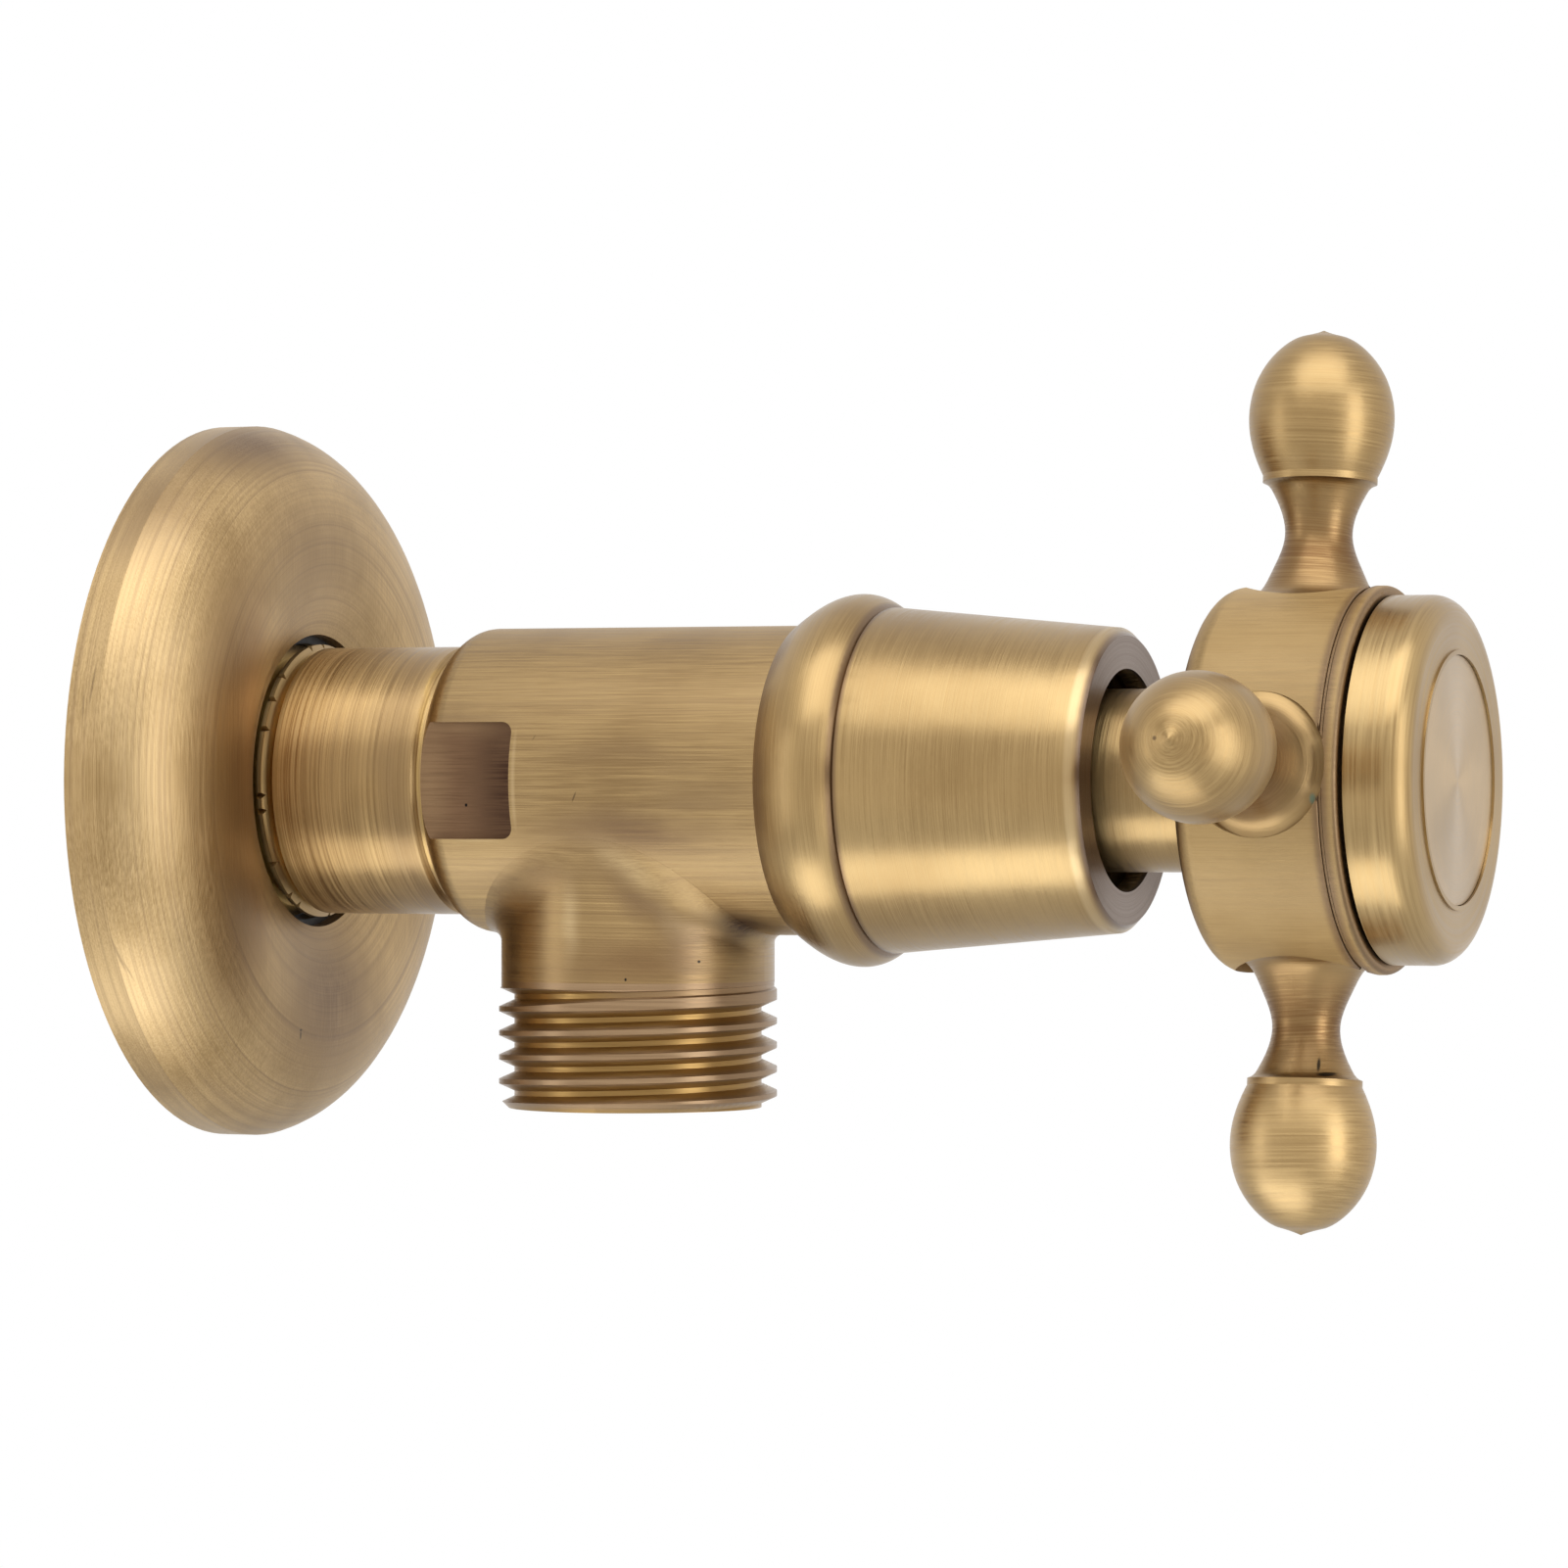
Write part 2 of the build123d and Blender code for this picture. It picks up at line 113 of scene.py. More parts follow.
class Graph:
    """A material's node tree, with short calls for the nodes that the finishes use."""

    def __init__(self, name: str) -> None:
        """Start an empty tree.

        Args:
            name: name of the new material.
        """
        self.material = bpy.data.materials.new(name)
        self.material.use_nodes = True
        self.tree = self.material.node_tree
        self.tree.nodes.clear()

    def node(self, kind: str, **settings: object) -> bpy.types.Node:
        """Add a node and set its properties.

        Args:
            kind: the node's bl_idname.
            settings: property names and values.

        Returns:
            The new node.
        """
        made = self.tree.nodes.new(kind)
        for key, value in settings.items():
            setattr(made, key, value)
        return made

    def join(self, source: object, target: bpy.types.NodeSocket) -> None:
        """Link a socket to a socket, or write a plain value into it.

        Args:
            source: an output socket, a number or a tuple.
            target: the input socket.
        """
        if isinstance(source, bpy.types.NodeSocket):
            self.tree.links.new(source, target)
        else:
            target.default_value = source

    def math(self, operation: str, *values: object, clamp: bool = False) -> bpy.types.NodeSocket:
        """Scalar maths.

        Args:
            operation: name of the Math node's operation.
            values: sockets or numbers, in order.
            clamp: keep the result between 0 and 1.

        Returns:
            The result socket.
        """
        made = self.node("ShaderNodeMath", operation=operation, use_clamp=clamp)
        for place, value in enumerate(values):
            self.join(value, made.inputs[place])
        return made.outputs[0]

    def vector(self, operation: str, *values: object,
               scale: Optional[object] = None) -> bpy.types.NodeSocket:
        """Vector maths.

        Args:
            operation: name of the Vector Math node's operation.
            values: sockets or vectors, in order.
            scale: factor for the SCALE operation.

        Returns:
            The value socket for operations that give a number, or else the vector socket.
        """
        made = self.node("ShaderNodeVectorMath", operation=operation)
        for place, value in enumerate(values):
            self.join(value, made.inputs[place])
        if scale is not None:
            self.join(scale, made.inputs["Scale"])
        number = operation in ("DOT_PRODUCT", "LENGTH", "DISTANCE")
        return made.outputs["Value" if number else "Vector"]

    def combine(self, x: object, y: object, z: object) -> bpy.types.NodeSocket:
        """A vector from three numbers.

        Args:
            x: first component, a socket or a number.
            y: second component.
            z: third component.

        Returns:
            The vector socket.
        """
        made = self.node("ShaderNodeCombineXYZ")
        for place, value in enumerate((x, y, z)):
            self.join(value, made.inputs[place])
        return made.outputs[0]

    def noise(self, vector: object, scale: float, detail: float = 2.0,
              rough: float = 0.55) -> bpy.types.NodeSocket:
        """Fractal noise.

        Args:
            vector: socket to read.
            scale: features for one unit of the vector.
            detail: octaves.
            rough: weight of the finer octaves.

        Returns:
            The factor socket, about 0.5 on average.
        """
        made = self.node("ShaderNodeTexNoise")
        self.join(vector, made.inputs["Vector"])
        self.join(scale, made.inputs["Scale"])
        self.join(detail, made.inputs["Detail"])
        self.join(rough, made.inputs["Roughness"])
        return made.outputs["Fac"]

    def ramp(self, value: object, low: float, high: float, start: float = 0.0,
             end: float = 1.0) -> bpy.types.NodeSocket:
        """Map a number smoothly from one range to another and clamp it.

        Args:
            value: socket to read.
            low: value that gives start.
            high: value that gives end.
            start: result at low.
            end: result at high.

        Returns:
            The mapped number.
        """
        made = self.node("ShaderNodeMapRange", interpolation_type="SMOOTHSTEP")
        for place, number in enumerate((value, low, high, start, end)):
            self.join(number, made.inputs[place])
        return made.outputs[0]

    def surface(self, shader: bpy.types.Node, height: object, depth: float) -> bpy.types.Material:
        """Give the shader its relief and lead it to the material's output.

        Args:
            shader: the Principled node.
            height: relief from 0 to 1.
            depth: height of the relief, in millimetres.

        Returns:
            The finished material.
        """
        bump = self.node("ShaderNodeBump")
        bump.inputs["Strength"].default_value = 1.0
        bump.inputs["Distance"].default_value = depth * MM
        self.join(height, bump.inputs["Height"])
        self.join(bump.outputs[0], shader.inputs["Normal"])
        out = self.node("ShaderNodeOutputMaterial")
        self.join(shader.outputs[0], out.inputs["Surface"])
        return self.material

    def between(self, share: object, first: object, second: object) -> bpy.types.NodeSocket:
        """A number between two others: the first where the share is 0, the second where it is 1."""
        return self.math("MULTIPLY_ADD", self.math("SUBTRACT", second, first), share, first)

    def mix(self, factor: object, first: object, second: object) -> bpy.types.NodeSocket:
        """Blend two colours.

        Args:
            factor: 0 for the first, 1 for the second.
            first: colour or socket.
            second: colour or socket.

        Returns:
            The colour socket.
        """
        made = self.node("ShaderNodeMix", data_type="RGBA")
        self.join(factor, made.inputs["Factor"])
        for place, colour in ((6, first), (7, second)):
            whole = (*colour, 1.0) if isinstance(colour, tuple) else colour
            self.join(whole, made.inputs[place])
        return made.outputs[2]


@dataclass(frozen=True)
class Mark:
    """A stain, speck, scratch, painted highlight or painted shade: an ellipsoid of colour, in millimetres
    and degrees.
    """

    place: Place
    size: Place
    strength: float
    colour: Colour = PATINA_AND_SHADE
    turn: Place = (0.0, 0.0, 0.0)
    soft: float = 1.0

    def mask(self, graph: "Graph", place: bpy.types.NodeSocket) -> bpy.types.NodeSocket:
        """How much of the mark covers each point.

        Args:
            graph: tree under construction.
            place: position to test, in metres.

        Returns:
            A number from 0 to the mark's strength.
        """
        mapping = graph.node("ShaderNodeMapping", vector_type="TEXTURE")
        graph.join(place, mapping.inputs["Vector"])
        mapping.inputs["Location"].default_value = tuple(value * MM for value in self.place)
        mapping.inputs["Rotation"].default_value = tuple(math.radians(value) for value in self.turn)
        mapping.inputs["Scale"].default_value = tuple(value * MM for value in self.size)
        reach = graph.vector("LENGTH", mapping.outputs[0])
        return graph.ramp(reach, 1.0 - self.soft, 1.0, self.strength, 0.0)


SHOULDER_RING = Mark((20.45, 0.0, 0.0), (0.28, ENDLESS, ENDLESS), 0.45, (0.55, 0.36, 0.11))
# Marks of the barrel and boss: specks and scratches, with painted highlights and painted shade.
BODY_WEAR_AND_SHADING = (
    # Painted highlights along the flat's right and bottom rims.
    Mark((28.95, -11.0, 0.0), (0.28, 1.2, 4.5), 0.45, PAINTED_HIGHLIGHT, soft=0.7),
    Mark((25.50, -11.2, -4.50), (3.6, 0.8, 0.18), 0.5, PAINTED_HIGHLIGHT, soft=0.6),
    SHOULDER_RING,
    # Painted highlights: two diagonal bright streaks over the tee and a bright vertical band on the boss.
    Mark((37.0, -10.0, -6.4), (5.2, 4.0, 1.7), 0.35, PAINTED_HIGHLIGHT, (0.0, 32.0, 0.0)),
    Mark((40.5, -8.0, -11.0), (3.6, 4.0, 1.3), 0.35, PAINTED_HIGHLIGHT, (0.0, 42.0, 0.0)),
    Mark((33.0, -10.2, -10.5), (1.1, 3.0, 4.2), 0.50, PAINTED_HIGHLIGHT),
    # Partly patina in the hollows, partly painted shade: dark where the boss meets the barrel, a diagonal
    # dark streak between the bright ones and a brown band low on the boss.
    Mark((44.6, -4.6, -10.9), (4.2, 4.0, 2.9), 0.95, UMBER, (0.0, 20.0, 0.0)),
    Mark((38.2, -9.2, -9.2), (6.5, 4.0, 2.0), 0.60, PATINA_AND_SHADE, (0.0, 40.0, 0.0)),
    Mark((37.0, -9.2, -13.8), (9.0, 4.0, 3.4), 0.70, (0.155, 0.080, 0.032)),
    Mark((28.5, -8.2, -9.5), (4.5, 6.0, 5.0), 0.25, PATINA_AND_SHADE),
    # Darker bands along the front of the barrel and above the flat: painted shade with some patina.
    Mark((38.5, -11.0, -3.9), (13.0, 3.5, 2.6), 0.75, PATINA_AND_SHADE),
    Mark((44.0, -10.0, -1.0), (9.0, 4.0, 1.6), 0.45, PATINA_AND_SHADE),
    Mark((38.0, -10.5, 1.6), (12.0, 4.0, 1.6), 0.35, PATINA_AND_SHADE),
    Mark((30.0, -10.5, -7.0), (9.0, 5.0, 2.2), 0.35, PATINA_AND_SHADE),
    Mark((24.5, -10.8, 5.2), (6.0, 2.0, 1.8), 0.40, PATINA_AND_SHADE),
    Mark((41.5, -7.6, -12.6), (3.0, 4.0, 4.0), 0.45, (0.165, 0.098, 0.062)),
    Mark((43.55, -6.0, -11.1), (0.16, 0.5, 0.12), 1.0, GRIME, soft=0.5),
    Mark((41.90, -6.8, -13.4), (0.12, 0.4, 0.14), 1.0, GRIME, soft=0.5),
    Mark((37.30, -9.7, -14.7), (0.10, 0.5, 0.16), 1.0, GRIME, soft=0.5),
    Mark((30.50, -11.4, 3.2), (0.09, 0.5, 0.42), 0.6, UMBER, (0.0, 30.0, 0.0), 0.6),
    Mark((33.90, -11.4, -1.2), (0.09, 0.5, 0.55), 0.6, UMBER, (0.0, 25.0, 0.0), 0.6),
)
FLAT_SHADING_AND_SPECK = (
    # Painted shade: dark towards the flat's right wall.
    Mark((28.6, -10.5, 0.0), (5.2, 2.0, 12.0), 0.95, (0.045, 0.020, 0.011)),
    # Painted light: lighter towards the flat's open left end and along its top edge.
    Mark((21.20, -10.4, 0.0), (3.0, 2.0, 8.0), 0.65, (0.29, 0.18, 0.090)),
    Mark((24.00, -10.4, 4.6), (6.0, 2.0, 1.6), 0.50, (0.29, 0.18, 0.090)),
    Mark((24.61, -10.35, -1.83), (0.13, 0.3, 0.15), 1.0, GRIME, soft=0.4),
)
FLANGE_STAINS_AND_HIGHLIGHTS = (
    Mark((8.4, -15.8, 0.0), (3.5, 7.5, 26.0), 0.90, TAN),
    # Painted light: a lighter tan next to the hole that lifts the shade there.
    Mark((8.6, -12.6, 0.0), (3.0, 4.4, 17.0), 0.75, (0.300, 0.150, 0.052)),
    Mark((8.2, -0.5, -17.0), (3.0, 13.0, 10.0), 0.75, PATINA_AND_SHADE),
    Mark((8.2, -3.0, 17.0), (3.0, 12.0, 8.0), 0.35, PATINA_AND_SHADE),
    Mark((4.5, -6.0, 25.5), (5.0, 15.0, 5.0), 0.80, PATINA_AND_SHADE),
    Mark((3.0, -17.5, 20.0), (5.0, 9.0, 8.0), 0.45, PATINA_AND_SHADE),
    # Painted highlights: bright patches on the left of the dome and a bright band down its left rim.
    Mark((6.3, -22.0, 11.5), (2.6, 4.0, 6.0), 0.12, PAINTED_HIGHLIGHT, (-28.0, 0.0, 0.0)),
    Mark((6.3, -21.0, -13.5), (2.6, 4.0, 7.0), 0.15, PAINTED_HIGHLIGHT, (30.0, 0.0, 0.0)),
    Mark((4.6, -25.0, 0.0), (2.6, 4.0, 13.0), 0.30, PAINTED_HIGHLIGHT),
    Mark((1.9, -26.6, 7.4), (0.14, 1.2, 2.9), 0.40, UMBER, (0.0, 3.0, 0.0), 0.7),
    Mark((1.3, -27.0, 5.6), (0.10, 1.2, 1.6), 0.40, UMBER, (0.0, -4.0, 0.0), 0.7),
    Mark((2.7, -24.0, -12.6), (0.16, 1.2, 3.0), 0.40, UMBER, (0.0, -10.0, 0.0), 0.7),
    Mark((3.3, -23.6, -14.6), (0.12, 1.2, 1.8), 0.40, UMBER, (0.0, -14.0, 0.0), 0.7),
    Mark((8.33, -5.25, -19.4), (0.6, 0.12, 0.45), 0.85, GRIME, (12.0, 0.0, 0.0), 0.6),
    Mark((8.45, -5.3, -19.0), (0.6, 0.25, 0.12), 0.70, GRIME, soft=0.6),
)
ARM_MARKS = {
    "arm_bottom": (
        Mark((89.0, -4.3, -20.4), (0.15, 0.8, 0.80), 0.9, GRIME, (0.0, -6.0, 0.0), 0.6),
        Mark((89.6, -4.6, -20.98), (0.80, 2.0, 0.18), 0.9, GRIME, soft=0.5),
    ),
    "arm_near": (
        Mark((91.3, -13.3, -1.3), (0.30, 0.5, 0.55), 0.8, (0.16, 0.24, 0.17), soft=0.7),
        Mark((86.08, -32.28, 2.84), (0.22, 0.6, 0.20), 0.7, UMBER, soft=0.6),
    ),
}
SHANK_MARKS = (
    SHOULDER_RING,
    Mark((18.6, 0.0, 0.0), (2.6, ENDLESS, ENDLESS), 0.35, PATINA_AND_SHADE),
)
COVER_LINE_AND_SHADING = (
    Mark((54.80, 0.0, 0.0), (0.55, ENDLESS, ENDLESS), 0.8, soft=0.75),
    # Painted shade over the cover's end, with a painted highlight on the rim just before it.
    Mark((73.25, 0.0, 0.0), (0.75, ENDLESS, ENDLESS), 0.95, (0.165, 0.110, 0.078), soft=0.75),
    Mark((72.35, 0.0, 0.0), (0.5, ENDLESS, ENDLESS), 0.5, PAINTED_HIGHLIGHT, soft=0.75),
    # Darker over the lip where the cover meets the body.
    Mark((48.60, 0.0, 0.0), (1.6, ENDLESS, ENDLESS), 0.6),
)
HUB_PATINA_AND_SHADE_RINGS = (
    # Patina and painted shade: soft brown rings beside the front bead, along the gap to the cap and at the
    # back edge of the drum.
    Mark((91.95, 0.0, 0.0), (0.9, ENDLESS, ENDLESS), 0.75, soft=0.75),
    Mark((93.15, 0.0, 0.0), (0.5, ENDLESS, ENDLESS), 0.70, soft=0.75),
    Mark((81.0, 0.0, 0.0), (0.9, ENDLESS, ENDLESS), 0.30),
)


@dataclass(frozen=True)
class BrushedBrass:
    """Antique brass: brushed metal under darker patina, with strokes that follow the piece."""

    name: str
    lay: Lay
    axis: Axis = VALVE_AXIS
    light: Colour = (0.405, 0.268, 0.112)
    dark: Colour = (0.285, 0.177, 0.067)
    patina: Colour = PATINA_AND_SHADE
    patina_share: float = 0.35
    patina_band: Point = (0.46, 0.72)
    streak_share: float = 0.5
    stroke_share: float = 0.55
    shade_band: Point = (0.34, 0.66)
    stroke_width: float = 0.22
    stroke_length: float = 9.0
    turn_radius: float = 10.0
    broad_scale: float = 0.31
    straight_share: float = 0.0
    radial_lines: float = 1.0
    meets_radius: float = 0.0
    meets_over: float = 0.9
    roughness: float = 0.36
    roughness_spread: float = 0.08
    anisotropy: float = 0.7
    bump: float = 0.012
    clouds: float = 95.0
    coat: float = 0.25
    coat_roughness: float = 0.35
    groove_radius: float = 0.0
    groove_depth: float = 0.5
    groove: Colour = (0.50, 0.31, 0.085)
    marks: Sequence[Mark] = ()
    mark_bend: float = 4.0
    crisp_below: float = 0.8

    @property
    def across(self) -> float:
        """How many stroke widths there are in a metre."""
        return 1.0 / (self.stroke_width * MM)

    @property
    def down(self) -> float:
        """How many stroke lengths there are in a metre."""
        return 1.0 / (self.stroke_length * MM)

    def build(self) -> bpy.types.Material:
        """Make the material.

        Returns:
            The finished material.
        """
        graph = Graph(self.name)
        point = graph.node("ShaderNodeTexCoord").outputs["Object"]
        place = graph.vector("SUBTRACT", point, tuple(value * MM for value in self.axis.point))
        along = graph.vector("DOT_PRODUCT", place, self.axis.direction)
        axial = graph.vector("SCALE", self.axis.direction, scale=along)
        radial = graph.vector("SUBTRACT", place, axial)
        radius = graph.vector("LENGTH", radial)
        outward = graph.vector("NORMALIZE", radial)
        fine, coarse = self.strokes(graph, point, self.stroke_space(graph, along, radius, outward, radial))
        cloud = graph.noise(point, self.clouds, detail=3.0, rough=0.55)
        shade = graph.between(self.stroke_share, cloud, fine)
        metal = graph.mix(graph.ramp(shade, *self.shade_band), self.dark, self.light)
        worn = graph.ramp(graph.between(self.streak_share, cloud, coarse), *self.patina_band)
        metal = graph.mix(graph.math("MULTIPLY", worn, self.patina_share), metal, self.patina)
        if self.groove_radius:
            bottom = (self.groove_radius - self.groove_depth) * MM
            depth = graph.ramp(radius, bottom, self.groove_radius * MM, start=1.0, end=0.0)
            metal = graph.mix(depth, metal, self.groove)
        metal = self.add_marks(graph, metal, point, fine, cloud)
        shader = graph.node("ShaderNodeBsdfPrincipled")
        graph.join(metal, shader.inputs["Base Color"])
        shader.inputs["Metallic"].default_value = 1.0
        rough = graph.ramp(fine, 0.3, 0.7, start=self.roughness - self.roughness_spread,
                           end=self.roughness + self.roughness_spread)
        graph.join(rough, shader.inputs["Roughness"])
        shader.inputs["Anisotropic"].default_value = self.anisotropy
        shader.inputs["Coat Weight"].default_value = self.coat
        shader.inputs["Coat Roughness"].default_value = self.coat_roughness
        graph.join(self.spread_direction(graph, radial), shader.inputs["Tangent"])
        return graph.surface(shader, fine, self.bump)

    def strokes(self, graph: Graph, point: object,
                space: object) -> tuple[bpy.types.NodeSocket, bpy.types.NodeSocket]:
        """The stroke noise, with straight strokes mixed in, and the barrel's where the piece meets it.

        Args:
            graph: tree under construction.
            point: position on the part, in metres.
            space: the piece's own stroke space.

        Returns:
            The fine and the coarse noise.
        """
        wide, length = self.across, self.down
        fine, coarse = self.stroke_noise(graph, space)
        if self.straight_share:
            straight = graph.vector("MULTIPLY", point, (wide, wide, length))
            fine = graph.between(self.straight_share, fine, self.stroke_noise(graph, straight)[0])
        if self.meets_radius:
            level = graph.vector("MULTIPLY", point, (length, wide, wide))
            from_axis = graph.vector("LENGTH", graph.vector("MULTIPLY", point, (0.0, 1.0, 1.0)))
            far = (self.meets_radius + self.meets_over) * MM
            share = graph.ramp(from_axis, self.meets_radius * MM, far, start=1.0, end=0.0)
            level_fine, level_coarse = self.stroke_noise(graph, level)
            fine = graph.between(share, fine, level_fine)
            coarse = graph.between(share, coarse, level_coarse)
        return fine, coarse

    def add_marks(self, graph: Graph, metal: bpy.types.NodeSocket, point: bpy.types.NodeSocket,
                  fine: bpy.types.NodeSocket, cloud: bpy.types.NodeSocket) -> bpy.types.NodeSocket:
        """Lay the marks over the metal.

        Args:
            graph: tree under construction.
            metal: colour so far.
            point: position on the part, in metres.
            fine: stroke noise, which breaks up the edges.
            cloud: soft noise, which bends them.

        Returns:
            The colour with its marks.
        """
        bend = graph.math("MULTIPLY", graph.math("SUBTRACT", cloud, 0.5), self.mark_bend * MM)
        wave = graph.vector("SCALE", (1.0, 1.0, 1.0), scale=bend)
        bent = graph.vector("ADD", point, wave)
        grain = graph.ramp(fine, 0.3, 0.6, start=0.6, end=1.15)
        for mark in self.marks:
            crisp = mark.soft < self.crisp_below
            cover = mark.mask(graph, point if crisp else bent)
            if not crisp:
                cover = graph.math("MULTIPLY", cover, grain, clamp=True)
            metal = graph.mix(cover, metal, mark.colour)
        return metal

    def stroke_space(self, graph: Graph, along: object, radius: object, outward: object,
                     radial: object) -> bpy.types.NodeSocket:
        """The space that the stroke noise reads, stretched along the strokes.

        Args:
            graph: tree under construction.
            along: distance along the axis.
            radius: distance from the axis.
            outward: unit vector away from the axis.
            radial: vector from the axis to the point.

        Returns:
            The vector socket, with one unit for each stroke width.
        """
        if self.lay is Lay.TURNED:
            spread = graph.math("MULTIPLY", radius, self.across * self.radial_lines)
            lines = graph.combine(graph.math("MULTIPLY", along, self.across), spread, 0.0)
            turn = graph.vector("SCALE", outward, scale=self.turn_radius / self.stroke_length)
            return graph.vector("ADD", lines, turn)
        side = graph.vector("SCALE", radial, scale=self.across)
        drift = graph.vector("SCALE", self.axis.direction, scale=graph.math("MULTIPLY", along, self.down))
        return graph.vector("ADD", side, drift)

    def stroke_noise(self, graph: Graph,
                     space: object) -> tuple[bpy.types.NodeSocket, bpy.types.NodeSocket]:
        """The fine strokes and the broad ones over them.

        Args:
            graph: tree under construction.
            space: vector with one unit for each stroke width.

        Returns:
            The fine and the coarse noise.
        """
        fine = graph.noise(space, 1.0, detail=3.0, rough=0.62)
        broad = graph.vector("SCALE", space, scale=self.broad_scale)
        return fine, graph.noise(broad, 1.0, detail=3.0, rough=0.6)

    def spread_direction(self, graph: Graph, radial: object) -> bpy.types.NodeSocket:
        """The direction across the strokes, in which the metal spreads a highlight.

        Args:
            graph: tree under construction.
            radial: vector from the axis to the point.

        Returns:
            The tangent socket, in world space.
        """
        round_axis = graph.vector("CROSS_PRODUCT", self.axis.direction, radial)
        turned = graph.node("ShaderNodeVectorTransform", vector_type="VECTOR",
                            convert_from="OBJECT", convert_to="WORLD")
        graph.join(round_axis, turned.inputs[0])
        if self.lay is Lay.ALONG:
            return graph.vector("NORMALIZE", turned.outputs[0])
        normal = graph.node("ShaderNodeNewGeometry").outputs["Normal"]
        return graph.vector("NORMALIZE", graph.vector("CROSS_PRODUCT", normal, turned.outputs[0]))


@dataclass(frozen=True)
class PlainStuff:
    """A part that is not brushed brass: two tones, a grain and its own gloss."""

    name: str
    light: Colour
    dark: Colour
    roughness: float
    metallic: float = 0.0
    roughness_spread: float = 0.06
    grain: float = 1800.0
    cloud_share: float = 0.08
    bump: float = 0.01

    def build(self) -> bpy.types.Material:
        """Make the material.

        Returns:
            The finished material.
        """
        graph = Graph(self.name)
        place = graph.node("ShaderNodeTexCoord").outputs["Object"]
        grain = graph.noise(place, self.grain, detail=3.0, rough=0.6)
        cloud = graph.noise(place, self.grain * self.cloud_share, detail=2.0, rough=0.5)
        shader = graph.node("ShaderNodeBsdfPrincipled")
        tone = graph.ramp(graph.math("MULTIPLY", graph.math("ADD", grain, cloud), 0.5), 0.38, 0.62)
        graph.join(graph.mix(tone, self.dark, self.light), shader.inputs["Base Color"])
        rough = graph.ramp(grain, 0.3, 0.7, start=self.roughness - self.roughness_spread,
                           end=self.roughness + self.roughness_spread)
        graph.join(rough, shader.inputs["Roughness"])
        shader.inputs["Metallic"].default_value = self.metallic
        return graph.surface(shader, grain, self.bump)


def dress(piece: bpy.types.Object, material: bpy.types.Material) -> None:
    """Give a piece one material.

    Args:
        piece: the object.
        material: its finish.
    """
    if not piece.data.materials:
        piece.data.materials.append(material)
    for slot in piece.material_slots:
        slot.material = material


@dataclass(frozen=True)
class Softbox:
    """A soft lamp: where it stands, what it faces and how much light it gives."""

    name: str
    place: Place
    width: float
    height: float
    power: float
    aim: Place = (0.045, 0.0, 0.0)
    colour: Colour = (0.93, 1.00, 1.09)


